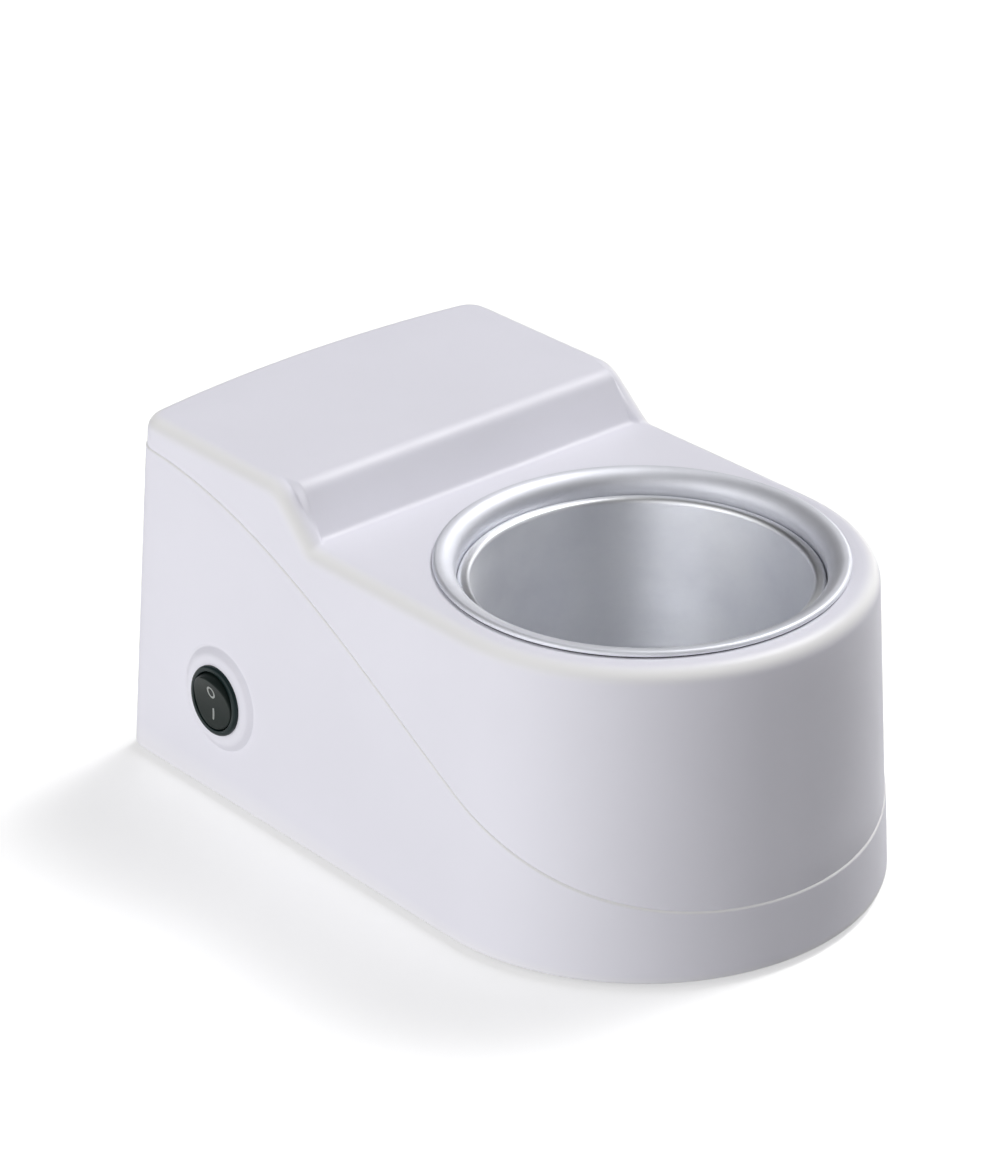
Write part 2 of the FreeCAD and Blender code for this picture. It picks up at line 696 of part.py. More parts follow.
def clamp_yoke():
    outer = YOKE_LEG + YOKE_SHEET
    half = YOKE_WIDTH / 2
    top = DECK - UPPER_WALL
    strap = rounded_face([
        (V(-outer, -half, top), 0),
        (V(-outer, -half, YOKE_UNDER), YOKE_BEND),
        (V(outer, -half, YOKE_UNDER), YOKE_BEND),
        (V(outer, -half, top), 0),
        (V(YOKE_LEG, -half, top), 0),
        (V(YOKE_LEG, -half, YOKE_TOP), YOKE_BEND - YOKE_SHEET),
        (V(-YOKE_LEG, -half, YOKE_TOP), YOKE_BEND - YOKE_SHEET),
        (V(-YOKE_LEG, -half, top), 0),
    ]).extrude(V(0, YOKE_WIDTH, 0))
    return strap.cut(rod(STUD_RADIUS + STUD_HOLE_GAP, (0, 0, 0), (0, 0, WELL_UNDER)))


def earth_tag():
    ring = rod(TAG_RADIUS, (0, 0, TAG_UNDER), (0, 0, YOKE_UNDER))
    tail = box((-TAG_WIDTH / 2, 0, TAG_UNDER), (TAG_WIDTH / 2, TAG_REACH, YOKE_UNDER))
    tag = ring.fuse(tail).removeSplitter()
    return tag.cut(rod(STUD_RADIUS + STUD_HOLE_GAP, (0, 0, 0), (0, 0, WELL_UNDER)))


def clamp_nut():
    start = (0, 0, CLAMP_NUT_UNDER)
    return hex_nut(CLAMP_NUT_FLATS, CLAMP_NUT_HEIGHT, STUD_RADIUS + THREAD_GAP, start, (0, 0, 1))


# Heater

def ear_hole_centre():
    return (BAND_OUTER + EAR_REACH / 2, (BAND_LOW + BAND_HIGH) / 2)


def heater_band():
    half = BAND_SPLIT / 2
    y, z = ear_hole_centre()
    band = tube(BAND_OUTER, BAND_INNER, BAND_LOW, BAND_HIGH)
    band = band.cut(box((-half, 0, 0), (half, FAR, FAR)))
    low, high = z - EAR_HEIGHT / 2, z + EAR_HEIGHT / 2
    root = BAND_INNER + BAND_SHEET / 2
    tip = BAND_OUTER + EAR_REACH
    ears = [box((half, root, low), (half + BAND_SHEET, tip, high)),
            box((-half - BAND_SHEET, root, low), (-half, tip, high))]
    band = band.fuse(ears)
    return band.cut(rod(BAND_SCREW_RADIUS + SCREW_GAP, (-FAR, y, z), (FAR, y, z)))


def band_screw():
    y, z = ear_hole_centre()
    face = BAND_SPLIT / 2 + BAND_SHEET
    head = rod(BAND_SCREW_HEAD, (face, y, z), (face + BAND_SCREW_HEAD - THREAD_GAP, y, z))
    shank = rod(BAND_SCREW_RADIUS, (face, y, z), (-face - BAND_NUT_HEIGHT - STUD_SPARE, y, z))
    return head.fuse(shank).removeSplitter()


def band_nut():
    y, z = ear_hole_centre()
    face = BAND_SPLIT / 2 + BAND_SHEET
    hole = BAND_SCREW_RADIUS + THREAD_GAP
    return hex_nut(BAND_NUT_FLATS, BAND_NUT_HEIGHT, hole, (-face, y, z), (-1, 0, 0))


def insulation_jacket():
    half = JACKET_OPENING / 2
    jacket = tube(JACKET_OUTER, JACKET_INNER, BAND_LOW, BAND_HIGH)
    return jacket.cut(box((-half, 0, 0), (half, FAR, FAR)))


def heater_blade_height():
    return BAND_HIGH - HEATER_BLADE_DROP


def heater_terminals():
    z = heater_blade_height()
    tip = BAND_OUTER + HEATER_BLADE_REACH
    band = rod(BAND_OUTER, (0, 0, 0), (0, 0, DECK))
    half = BLADE_WIDTH / 2
    blades = [box((x - half, 0, z), (x + half, tip, z + BLADE_SHEET)).cut(band)
              for x in (-HEATER_BLADE_X, HEATER_BLADE_X)]
    return Part.makeCompound(blades)


# Thermostat and fuse

def stat_blade_low():
    return WELL_UNDER - STAT_HEIGHT + STAT_BLADE_RAISE


def thermostat_terminals():
    x, y = STAT_PLACE
    z = stat_blade_low()
    half = BLADE_WIDTH / 2
    near, tip = STAT_BLADE_ROOT, STAT_BLADE_REACH
    blades = [box((x + near, y - half, z), (x + tip, y + half, z + BLADE_SHEET)),
              box((x - tip, y - half, z), (x - near, y + half, z + BLADE_SHEET))]
    return Part.makeCompound(blades)


def thermostat():
    x, y = STAT_PLACE
    low = WELL_UNDER - STAT_FLANGE
    body = rod(STAT_RADIUS, (x, y, WELL_UNDER - STAT_HEIGHT), (x, y, WELL_UNDER))
    length = STAT_HOLE_SPACING + STAT_FLANGE_WIDTH
    flange = slot(length, STAT_FLANGE_WIDTH, STAT_PLACE, math.pi / 2, low, WELL_UNDER)
    body = body.fuse(flange).removeSplitter()
    hole = SMALL_STUD_RADIUS + STUD_HOLE_GAP
    holes = [rod(hole, (*p, low), (*p, WELL_UNDER)) for p in small_stud_places()[:2]]
    return body.cut(holes + thermostat_terminals().Solids)


def fuse_height():
    return WELL_UNDER - FUSE_RADIUS - FUSE_GAP


def thermal_fuse():
    x, y = FUSE_PLACE
    z = fuse_height()
    half = FUSE_LENGTH / 2
    case = rod(FUSE_RADIUS, (x - half, y, z), (x + half, y, z))
    lead = rod(FUSE_LEAD_RADIUS, (x - half - FUSE_LEAD, y, z), (x + half + FUSE_LEAD, y, z))
    return case.fuse(lead).removeSplitter()


def fuse_clip():
    x, y = FUSE_PLACE
    z = fuse_height()
    low, high = x - CLIP_WIDTH / 2, x + CLIP_WIDTH / 2
    bore = FUSE_RADIUS + FUSE_GAP
    wall = bore + CLIP_SHEET

    def saddle(radius):
        post = box((low, y - radius, z), (high, y + radius, WELL_UNDER))
        return rod(radius, (low, y, z), (high, y, z)).fuse(post)

    foot = box((low, y + bore, WELL_UNDER - CLIP_SHEET), (high, y + CLIP_REACH, WELL_UNDER))
    clip = saddle(wall).common(box((low, 0, 0), (high, FAR, WELL_UNDER))).fuse(foot).cut(saddle(bore))
    stud = small_stud_places()[2]
    return clip.cut(rod(SMALL_STUD_RADIUS + STUD_HOLE_GAP, (*stud, 0), (*stud, WELL_UNDER)))


def well_nuts():
    faces = [WELL_UNDER - STAT_FLANGE, WELL_UNDER - STAT_FLANGE, WELL_UNDER - CLIP_SHEET]
    hole = SMALL_STUD_RADIUS + THREAD_GAP
    nuts = [hex_nut(SMALL_NUT_FLATS, SMALL_NUT_HEIGHT, hole, (*p, z), (0, 0, -1))
            for p, z in zip(small_stud_places(), faces)]
    return Part.makeCompound(nuts)


# Rocker switch, drawn on its own axes: x to the right, y up the cheek, z outward

def rocker_pivot():
    return V(0, 0, PAD_RISE - ROCKER_PIVOT_DROP)


def switch_blades():
    half = BLADE_SHEET / 2
    tall = BLADE_WIDTH / 2
    low = SWITCH_BACK - SWITCH_BLADE_REACH
    high = SWITCH_BACK + BARREL_BACK / 2
    return [box((x - half, -tall, low), (x + half, tall, high))
            for x in (-SWITCH_BLADE_OFFSET, SWITCH_BLADE_OFFSET)]


def switch_body():
    cavity = BARREL_RADIUS - BARREL_WALL
    face = PAD_RISE + BEZEL_RISE
    body = turned([
        (0, SWITCH_BACK, 0),
        (BARREL_RADIUS, SWITCH_BACK, BARREL_CORNER),
        (BARREL_RADIUS, PAD_RISE, 0),
        (BEZEL_RADIUS, PAD_RISE, 0),
        (BEZEL_RADIUS, face, BEZEL_ROUND),
        (cavity, face, BEZEL_INNER_ROUND),
        (cavity, -BARREL_DEPTH, BARREL_CORNER),
        (0, -BARREL_DEPTH, 0),
    ])
    high = -LOWER_WALL - LATCH_GAP
    reach = BARREL_RADIUS + LATCH_REACH
    inner = BARREL_RADIUS - BARREL_WALL / 2
    half = LATCH_WIDTH / 2
    ramp = [V(-half, inner, high), V(-half, reach, high), V(-half, inner, high - LATCH_LENGTH)]
    latch = Part.Face(Part.makePolygon(ramp + ramp[:1])).extrude(V(LATCH_WIDTH, 0, 0))
    other = latch.mirror(V(0, 0, 0), V(0, 1, 0))
    pivot = rocker_pivot()
    hole = rod(TRUNNION_RADIUS + TRUNNION_GAP, (-FAR, 0, pivot.z), (FAR, 0, pivot.z))
    bore = hole.common(Part.makeCylinder(TRUNNION_BORE, FAR, V(0, 0, -BARREL_DEPTH)))
    return switch_frame(body.fuse([latch, other]).cut([bore] + switch_blades()))


def switch_terminals():
    return Part.makeCompound([switch_frame(blade) for blade in switch_blades()])


def switch_rocker():
    cavity = BARREL_RADIUS - BARREL_WALL
    paddle = Part.makeSphere(cavity - ROCKER_GAP)
    paddle = paddle.common(box((-FAR, -FAR, -ROCKER_SKIRT), (FAR, FAR, FAR)))
    hollow_axis = ROCKER_FACE_RISE + ROCKER_FACE_HOLLOW
    paddle = paddle.cut(rod(ROCKER_FACE_HOLLOW, (-FAR, 0, hollow_axis), (FAR, 0, hollow_axis)))
    reach = TRUNNION_BORE - TRUNNION_END_GAP
    rocker = paddle.fuse(rod(TRUNNION_RADIUS, (-reach, 0, 0), (reach, 0, 0)))
    rocker.rotate(V(0, 0, 0), V(1, 0, 0), ROCKER_TILT)
    rocker.translate(rocker_pivot())
    return switch_frame(rocker)


# Mains inlet

def chamfered_block(size, chamfer, low, high):
    """Block along Y whose two upper corners are cut off."""
    w, h = size[0] / 2, size[1] / 2
    z = INLET_HEIGHT
    ring = [V(-w, low, z - h), V(w, low, z - h), V(w, low, z + h - chamfer), V(w - chamfer, low, z + h),
            V(chamfer - w, low, z + h), V(-w, low, z + h - chamfer)]
    return Part.Face(Part.makePolygon(ring + ring[:1])).extrude(V(0, high - low, 0))


def inlet_screw_places():
    face = INLET_FACE + INLET_FLANGE_SHEET
    return [(side * INLET_SCREW_SPACING / 2, face, INLET_HEIGHT) for side in (-1, 1)]


def inlet_screw_holes():
    return [countersunk_hole(INLET_SCREW_RADIUS, INLET_SCREW_HEAD, INLET_SCREW_LENGTH, p, (0, -1, 0))
            for p in inlet_screw_places()]


def inlet_pin_places():
    """Across and up, for live, earth and neutral."""
    z = INLET_HEIGHT
    return [(-PIN_SPACING, z - PIN_STAGGER), (0, z + PIN_STAGGER), (PIN_SPACING, z - PIN_STAGGER)]


def inlet_pin(place):
    x, z = place
    tip = INLET_FACE + INLET_FLANGE_SHEET - PIN_BELOW_FACE
    root = INLET_BACK + TAB_REACH / 2
    w, h = PIN_SECTION[0] / 2, PIN_SECTION[1] / 2
    blade = box((x - w, root, z - h), (x + w, tip, z + h))
    w, h = TAB_SECTION[0] / 2, TAB_SECTION[1] / 2
    tab = box((x - w, INLET_BACK - TAB_REACH, z - h), (x + w, root, z + h))
    return blade.fuse(tab)


def inlet_pins():
    return Part.makeCompound([inlet_pin(p) for p in inlet_pin_places()])


def mains_inlet():
    front = INLET_FACE + INLET_FLANGE_SHEET
    w, h = INLET_FLANGE[0] / 2, INLET_FLANGE[1] / 2
    flange = box((-w, INLET_FACE, INLET_HEIGHT - h), (w, front, INLET_HEIGHT + h))
    corners = [e for e in flange.Edges if e.BoundBox.YLength > INLET_FLANGE_SHEET / 2]
    flange = flange.makeFillet(INLET_FLANGE_ROUND, corners)
    body = flange.fuse(chamfered_block(INLET_BODY, INLET_BODY_CHAMFER, INLET_BACK, INLET_FACE))
    socket = chamfered_block(SOCKET, SOCKET_CHAMFER, front - SOCKET_DEPTH, front)
    return body.cut([socket] + inlet_screw_holes() + inlet_pins().Solids)


def inlet_screws():
    screws = [countersunk_screw(INLET_SCREW_RADIUS, INLET_SCREW_HEAD, INLET_SCREW_LENGTH, p, (0, -1, 0))
              for p in inlet_screw_places()]
    return Part.makeCompound(screws)


def inlet_nuts():
    seat = INLET_FACE - LOWER_WALL
    hole = INLET_SCREW_RADIUS + THREAD_GAP
    nuts = [hex_nut(SMALL_NUT_FLATS, SMALL_NUT_HEIGHT, hole, (x, seat, z), (0, -1, 0))
            for x, _, z in inlet_screw_places()]
    return Part.makeCompound(nuts)


# Wiring: each route leaves a blade's tip straight, and ends straight on another

def switch_blade_tip(side):
    """Tip of a switch blade: side -1 is the rear one."""
    tip = Part.Vertex(V(side * SWITCH_BLADE_OFFSET, 0, SWITCH_BACK - SWITCH_BLADE_REACH))
    return switch_frame(tip).BoundBox.Center


def inlet_tab_tip(index):
    x, z = inlet_pin_places()[index]
    return V(x, INLET_BACK - TAB_REACH, z)


def stat_blade_tip(side):
    x, y = STAT_PLACE
    return V(x + side * STAT_BLADE_REACH, y, stat_blade_low() + BLADE_SHEET / 2)


def fuse_lead_tip(side):
    x, y = FUSE_PLACE
    return V(x + side * (FUSE_LENGTH / 2 + FUSE_LEAD), y, fuse_height())


def heater_blade_tip(side):
    return V(side * HEATER_BLADE_X, BAND_OUTER + HEATER_BLADE_REACH, heater_blade_height() + BLADE_SHEET / 2)


def beside_drum(place, z):
    """Point outside the insulation, from (distance, angle, height) and the height it counts from."""
    clear, angle, height = place
    turn = math.radians(angle)
    reach = JACKET_OUTER + clear
    return V(reach * math.cos(turn), reach * math.sin(turn), z + height)


def wire_routes():
    draft = math.radians(SIDE_DRAFT)
    inward = V(math.cos(draft), 0, -math.sin(draft)) * WIRE_LEAD
    rearward = V(0, WIRE_LEAD, 0)
    right = V(WIRE_LEAD, 0, 0)
    short = V(FUSE_WIRE_LEAD, 0, 0)
    live, earth, neutral = (inlet_tab_tip(k) for k in range(3))
    switch_in, switch_out = switch_blade_tip(-1), switch_blade_tip(1)
    stat_in, stat_out = stat_blade_tip(-1), stat_blade_tip(1)
    fuse_in, fuse_out = fuse_lead_tip(-1), fuse_lead_tip(1)
    heater_in, heater_out = heater_blade_tip(1), heater_blade_tip(-1)
    tag = V(0, TAG_REACH, TAG_UNDER + TAG_SHEET / 2)
    sagging = (switch_out + inward + stat_in - right) * 0.5 - V(0, 0, WIRE_SAG)
    low = beside_drum(HEATER_WIRE_LOW, YOKE_TOP)
    high = beside_drum(HEATER_WIRE_HIGH, BAND_LOW)
    return {
        "wire_live": [live, live - rearward, switch_in + inward, switch_in],
        "wire_switched": [switch_out, switch_out + inward, sagging, stat_in - right, stat_in],
        "wire_fuse": [stat_out, stat_out + short, fuse_in - short, fuse_in],
        "wire_heater": [fuse_out, fuse_out + right, low, high, heater_in + rearward, heater_in],
        "wire_neutral": [neutral, neutral - rearward, heater_out + rearward, heater_out],
        "wire_earth": [earth, earth - rearward, tag + rearward, tag],
    }


PIECES = [
    upper_housing, lower_housing, base_plate, rubber_feet, base_screws, heating_well, wax_pot, rim_gasket,
    clamp_yoke, clamp_nut, earth_tag, heater_band, band_screw, band_nut, heater_terminals,
    insulation_jacket, thermostat, thermostat_terminals, thermal_fuse, fuse_clip, well_nuts, switch_body,
    switch_rocker, switch_terminals, mains_inlet, inlet_pins, inlet_screws, inlet_nuts,
]


def write_piece(name, shape):
    placed = shape.copy()
    placed.translate(STANDING)
    placed.exportStep(os.path.join("parts", name + ".step"))


def main():
    os.makedirs("parts", exist_ok=True)
    for piece in PIECES:
        write_piece(piece.__name__, piece())
    for name, points in wire_routes().items():
        write_piece(name, wire_tube(points))


main()
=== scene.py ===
"""Looks of a salon wax warmer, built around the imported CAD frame."""

import cmath
import math

import bmesh
import bpy
import numpy
from bpy.props import FloatProperty, FloatVectorProperty, IntProperty, PointerProperty
from mathutils import Matrix, Vector


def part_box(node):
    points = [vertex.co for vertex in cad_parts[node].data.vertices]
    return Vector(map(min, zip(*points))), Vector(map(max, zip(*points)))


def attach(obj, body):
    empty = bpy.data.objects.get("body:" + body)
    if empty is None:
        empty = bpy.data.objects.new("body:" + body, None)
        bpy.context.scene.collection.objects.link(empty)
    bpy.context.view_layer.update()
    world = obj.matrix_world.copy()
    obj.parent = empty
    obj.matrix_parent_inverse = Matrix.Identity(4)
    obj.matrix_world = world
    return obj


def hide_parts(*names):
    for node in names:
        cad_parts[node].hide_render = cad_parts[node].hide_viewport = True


bl_info = {
    "name": "Wax Warmer",
    "version": (1, 0, 0),
    "blender": (4, 5, 0),
    "location": "View3D > Sidebar > Warmer",
    "description": "Builds the looks of a salon wax warmer around its CAD frame",
    "category": "Object",
}

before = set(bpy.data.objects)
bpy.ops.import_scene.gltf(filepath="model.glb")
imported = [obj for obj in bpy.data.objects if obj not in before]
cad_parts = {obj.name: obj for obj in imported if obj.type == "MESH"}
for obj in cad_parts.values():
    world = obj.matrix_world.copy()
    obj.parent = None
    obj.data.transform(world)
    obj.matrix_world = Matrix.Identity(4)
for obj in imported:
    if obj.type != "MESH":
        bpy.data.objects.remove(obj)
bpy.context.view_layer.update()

MM = 0.001
MERGE = 1e-6  # points nearer than this are one
CREASE = 32.0  # degrees past which an edge is shaded sharp
BASE_RADIUS = 72.0125
STEEL = (0.60, 0.61, 0.63)
SKIRT_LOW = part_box("lower_housing")[0]
DRUM = Matrix.Translation((0.0, SKIRT_LOW.y + BASE_RADIUS * MM, SKIRT_LOW.z))


# Properties

def length(name, description, millimetres):
    """A size that the user may change."""
    return FloatProperty(name=name, description=description, default=millimetres * MM, min=0.0,
                         precision=5, unit="LENGTH", subtype="DISTANCE")


def angle(name, description, degrees):
    """An angle that the user may change."""
    return FloatProperty(name=name, description=description, default=math.radians(degrees),
                         unit="ROTATION", subtype="ANGLE")


def strength(name, description, value):
    """The strength of a glow."""
    return FloatProperty(name=name, description=description, default=value)


def colour(name, description, value):
    """A colour that the user may change."""
    return FloatVectorProperty(name=name, description=description, default=value, size=3,
                               min=0.0, max=1.0, subtype="COLOR")


class HousingSettings(bpy.types.PropertyGroup):
    """Moulded body: a round drum in front and a taller console behind."""

    base_radius: length("Base radius", "Radius of the drum at the skirt's lower edge", BASE_RADIUS)
    console_reach: length("Console reach", "From the drum's axis to the rear wall, at the skirt", 160.0)
    deck_height: length("Deck height", "Height of the deck round the pot", 95.0)
    console_height: length("Console height", "Height of the console's flat top", 109.5)
    deck_hole: length("Deck hole", "Radius of the hole the well hangs in", 56.6)
    riser_foot: length("Riser foot", "From the drum's axis to the foot of the sloped riser", 69.3)
    riser_slope: angle("Riser slope", "Angle of the riser between deck and console", 59.0)
    riser_foot_round: length("Riser foot round", "Hollow rounding at the riser's foot", 2.6)
    riser_top_round: length("Riser top round", "Rounding where the riser meets the console", 6.0)
    end_foot: length("End foot", "From the drum's axis to the riser's foot at its two ends", 67.0)
    end_slope: angle("End slope", "Angle of the riser at its two ends", 43.0)
    end_round: length("End round", "Rounding of the riser's top at its two ends", 13.0)
    end_width: length("End width", "Width over which the riser eases out to its ends", 2.2)
    edge_round: length("Edge round", "Rounding of the upper edge all round", 5.0)
    side_draft: angle("Side draft", "Lean of the drum and the side cheeks", 2.9)
    side_taper: angle("Side taper", "Closing in of the side cheeks towards the rear", 0.45)
    rear_draft: angle("Rear draft", "Lean of the rear wall", 3.5)
    rear_bow: length("Rear bow", "Radius of the bowed rear wall in plan", 380.0)
    rear_corner: length("Rear corner", "Radius of the rear corners in plan", 9.0)
    upper_wall: length("Upper wall", "Wall of the upper shell", 2.8)
    lower_wall: length("Lower wall", "Wall of the lower shell", 2.5)
    seam_step: length("Seam step", "How far the lower shell stands proud", 0.35)
    seam_gap: length("Seam gap", "Gap between the two shells", 0.04)
    seam_round: length("Seam round", "Rounding of the lower shell's upper edge", 0.8)
    colour: colour("Colour", "White of the satin moulding", (0.88, 0.872, 0.955))


class PotSettings(bpy.types.PropertyGroup):
    """Spun aluminium: the well with its rolled rim, and the loose pot."""

    pot_radius: length("Pot radius", "Inside of the pot's wall", 48.3)
    pot_floor: length("Pot floor", "Height of the pot's floor over the skirt's edge", 27.4)
    pot_sheet: length("Pot sheet", "Sheet of the pot", 1.0)
    lip_top: length("Lip top", "Height of the pot's lip", 90.5)
    lip_width: length("Lip width", "Width of the pot's rolled lip", 3.8)
    well_mouth: length("Well mouth", "Inside of the rolled rim", 52.3)
    well_sheet: length("Well sheet", "Sheet of the well", 1.2)
    rim_width: length("Rim width", "Width of the rolled rim", 6.7)
    rim_rise: length("Rim rise", "Height of the rim over the deck", 1.8)
    segments: IntProperty(name="Segments", description="Facets round the turned pieces", default=288, min=12)
    pot_colour: colour("Pot colour", "Satin aluminium of the pot", (0.92, 0.93, 0.975))
    rim_colour: colour("Rim colour", "Aluminium of the rolled rim", (0.79, 0.80, 0.85))


class SwitchSettings(bpy.types.PropertyGroup):
    """Round rocker switch on its raised pad in the left cheek."""

    from_axis: length("From axis", "From the drum's axis back to the switch", 106.9)
    height: length("Height", "Height of the switch over the skirt's edge", 32.2)
    pad_radius: length("Pad radius", "Radius of the raised pad", 15.35)
    pad_rise: length("Pad rise", "Height of the pad over the cheek", 1.7)
    barrel_radius: length("Barrel radius", "Outside of the barrel", 10.0)
    barrel_wall: length("Barrel wall", "Wall of the barrel", 0.9)
    bezel_width: length("Bezel width", "How far the bezel covers the pad", 0.85)
    bezel_rise: length("Bezel rise", "Height of the bezel over the pad", 1.3)
    rocker_radius: length("Rocker radius", "Radius of the rocker's round sides", 8.8)
    rocker_tilt: angle("Rocker tilt", "Tilt of the rocker to either side", 8.0)
    pivot_drop: length("Pivot drop", "Depth of the pivot under the pad's face", 0.3)
    face_rise: length("Face rise", "Height of the face's middle over the pivot", 1.7)
    face_hollow: length("Face hollow", "Radius of the hollow face", 30.0)
    mark_offset: length("Mark offset", "From the pivot to each printed mark", 3.7)
    bezel_colour: colour("Bezel colour", "Dark plastic of the bezel", (0.006, 0.018, 0.019))
    rocker_colour: colour("Rocker colour", "Dark plastic of the rocker", (0.012, 0.019, 0.017))
    mark_colour: colour("Mark colour", "Print of the two marks", (0.42, 0.44, 0.43))


class FastenerSettings(bpy.types.PropertyGroup):
    """Screws and feet, each made once and set out at its places."""

    screw_head: length("Screw head", "Radius of a base screw's head", 3.4)
    screw_shank: length("Screw shank", "Radius of a base screw's shank", 1.7)
    screw_length: length("Screw length", "Length of a base screw", 13.0)
    inlet_head: length("Inlet screw head", "Radius of an inlet screw's head", 2.9)
    inlet_shank: length("Inlet screw shank", "Radius of an inlet screw's shank", 1.5)
    inlet_length: length("Inlet screw length", "Length of an inlet screw", 11.0)
    foot_radius: length("Foot radius", "Widest radius of a rubber foot", 8.0)
    turn_seed: IntProperty(name="Turn seed", description="How the screws happen to be turned", default=4)


class InletSettings(bpy.types.PropertyGroup):
    """Mains inlet in the rear wall."""

    edge: length("Edge", "Easing of the moulded edges", 0.45)
    pin_edge: length("Pin edge", "Easing of the pins", 0.35)
    colour: colour("Colour", "Black moulding", (0.014, 0.014, 0.015))


class StageSettings(bpy.types.PropertyGroup):
    """Camera, floor and light."""

    camera_place: FloatVectorProperty(name="Camera place", description="Where the camera stands", size=3,
                                      default=(-0.75031, -0.85042, 0.65239), unit="LENGTH",
                                      subtype="TRANSLATION")
    yaw: angle("Yaw", "Turn of the view from the long axis", 40.859)
    pitch: angle("Pitch", "How far the view looks down", 27.075)
    roll: angle("Roll", "Lean of the picture", -0.339)
    lens: FloatProperty(name="Lens", description="Focal length in millimetres", default=135.26, min=1.0)
    high_glow: strength("High glow", "Narrow soft light high on the right", 19.0)
    right_power: FloatProperty(name="Right light", description="Small softbox low on the right", default=4.0,
                               min=0.0, unit="POWER")
    left_glow: strength("Left glow", "Broad soft light from the left", 2.55)
    front_glow: strength("Front glow", "Weak soft light from the right front", 0.4)
    low_glow: strength("Low glow", "Weak soft light from the low right rear", 0.42)
    floor_glow: strength("Floor glow", "Light of the pale floor itself", 0.4)
    floor_colour: colour("Floor colour", "Pale floor", (0.96, 0.96, 0.96))


class WarmerSettings(bpy.types.PropertyGroup):
    """All that a user would change."""

    housing: PointerProperty(type=HousingSettings)
    pot: PointerProperty(type=PotSettings)
    switch: PointerProperty(type=SwitchSettings)
    fasteners: PointerProperty(type=FastenerSettings)
    inlet: PointerProperty(type=InletSettings)
    stage: PointerProperty(type=StageSettings)


# Node helpers, for materials and for geometry

def add(tree, kind, inputs=None, **settings):
    """Adds a node. An input is given as a value or as the socket that feeds it."""
    made = tree.nodes.new(kind)
    for key, value in settings.items():
        setattr(made, key, value)
    for key, value in (inputs or {}).items():
        if isinstance(value, bpy.types.NodeSocket):
            tree.links.new(value, made.inputs[key])
        else:
            made.inputs[key].default_value = value
    return made


def new_shader(name, **constants):
    """A material with its surface shader, whose even values are set on the shader's own sockets."""
    material = bpy.data.materials.new(name)
    material.use_nodes = True
    surface = material.node_tree.nodes["Principled BSDF"]
    for key, value in constants.items():
        surface.inputs[key.replace("_", " ")].default_value = value
    return material, material.node_tree, surface


def object_place(tree):
    """Place on a piece, in the shared frame."""
    return add(tree, "ShaderNodeTexCoord").outputs["Object"]


def noise(tree, place, scale, detail=2.0, roughness=0.5):
    """Cloudy pattern."""
    made = add(tree, "ShaderNodeTexNoise",
               {"Vector": place, "Scale": scale, "Detail": detail, "Roughness": roughness})
    return made.outputs["Fac"]


def spread(tree, value, low, high, start=0.3, end=0.7):
    """Maps the busy middle of a pattern to a range."""
    made = add(tree, "ShaderNodeMapRange", {"Value": value, "From Min": start, "From Max": end,
                                            "To Min": low, "To Max": high})
    return made.outputs["Result"]


def mixed(tree, share, first, second):
    """Colour between two others."""
    made = add(tree, "ShaderNodeMix", {0: share, 6: first, 7: second}, data_type="RGBA")
    return made.outputs[2]


def relief(tree, height, distance, strength=1.0, under=None):
    """Bump normal from a height pattern."""
    inputs = {"Height": height, "Distance": distance, "Strength": strength}
    if under:
        inputs["Normal"] = under
    return add(tree, "ShaderNodeBump", inputs).outputs["Normal"]


def shade(value, share):
    """Opaque colour, made lighter or darker."""
    return (*[min(1.0, c * share) for c in value], 1.0)


def join_up(tree, surface, **sockets):
    """Links varying values to the shader."""
    for key, socket in sockets.items():
        tree.links.new(socket, surface.inputs[key.replace("_", " ")])


def centred(tree):
    """Place on a piece, from the drum's axis and the skirt's lower edge."""
    made = add(tree, "ShaderNodeMapping", {"Vector": object_place(tree), "Location": -DRUM.translation})
    return made.outputs["Vector"]


def drum_place(tree):
    """Radius from the drum's axis and height, for marks that run round a turned piece."""
    parts = add(tree, "ShaderNodeSeparateXYZ", {"Vector": centred(tree)})
    flat = add(tree, "ShaderNodeCombineXYZ", {"X": parts.outputs["X"], "Y": parts.outputs["Y"]})
    radius = add(tree, "ShaderNodeVectorMath", {0: flat.outputs["Vector"]}, operation="LENGTH")
    return radius.outputs["Value"], parts.outputs["Z"]


def profile_direction(tree):
    """Direction along a turned piece's profile: upright on its wall and outward on its floor."""
    flat = add(tree, "ShaderNodeVectorMath", {0: centred(tree), 1: (1.0, 1.0, 0.0)}, operation="MULTIPLY")
    outward = add(tree, "ShaderNodeVectorMath", {0: flat.outputs["Vector"]}, operation="NORMALIZE")
    leaning = add(tree, "ShaderNodeVectorMath", {0: outward.outputs["Vector"], 1: (0.0, 0.0, 1.0)}, operation="ADD")
    return leaning.outputs["Vector"]


# Finishes

def clouded(tree, surface, pattern, dark, light, rough, normal):
    """Links a colour and a roughness that follow one pattern, and the relief. Gives the colour."""
    tone = mixed(tree, spread(tree, pattern, 0.0, 1.0), dark, light)
    join_up(tree, surface, Base_Color=tone, Roughness=spread(tree, pattern, *rough), Normal=normal)
    return tone


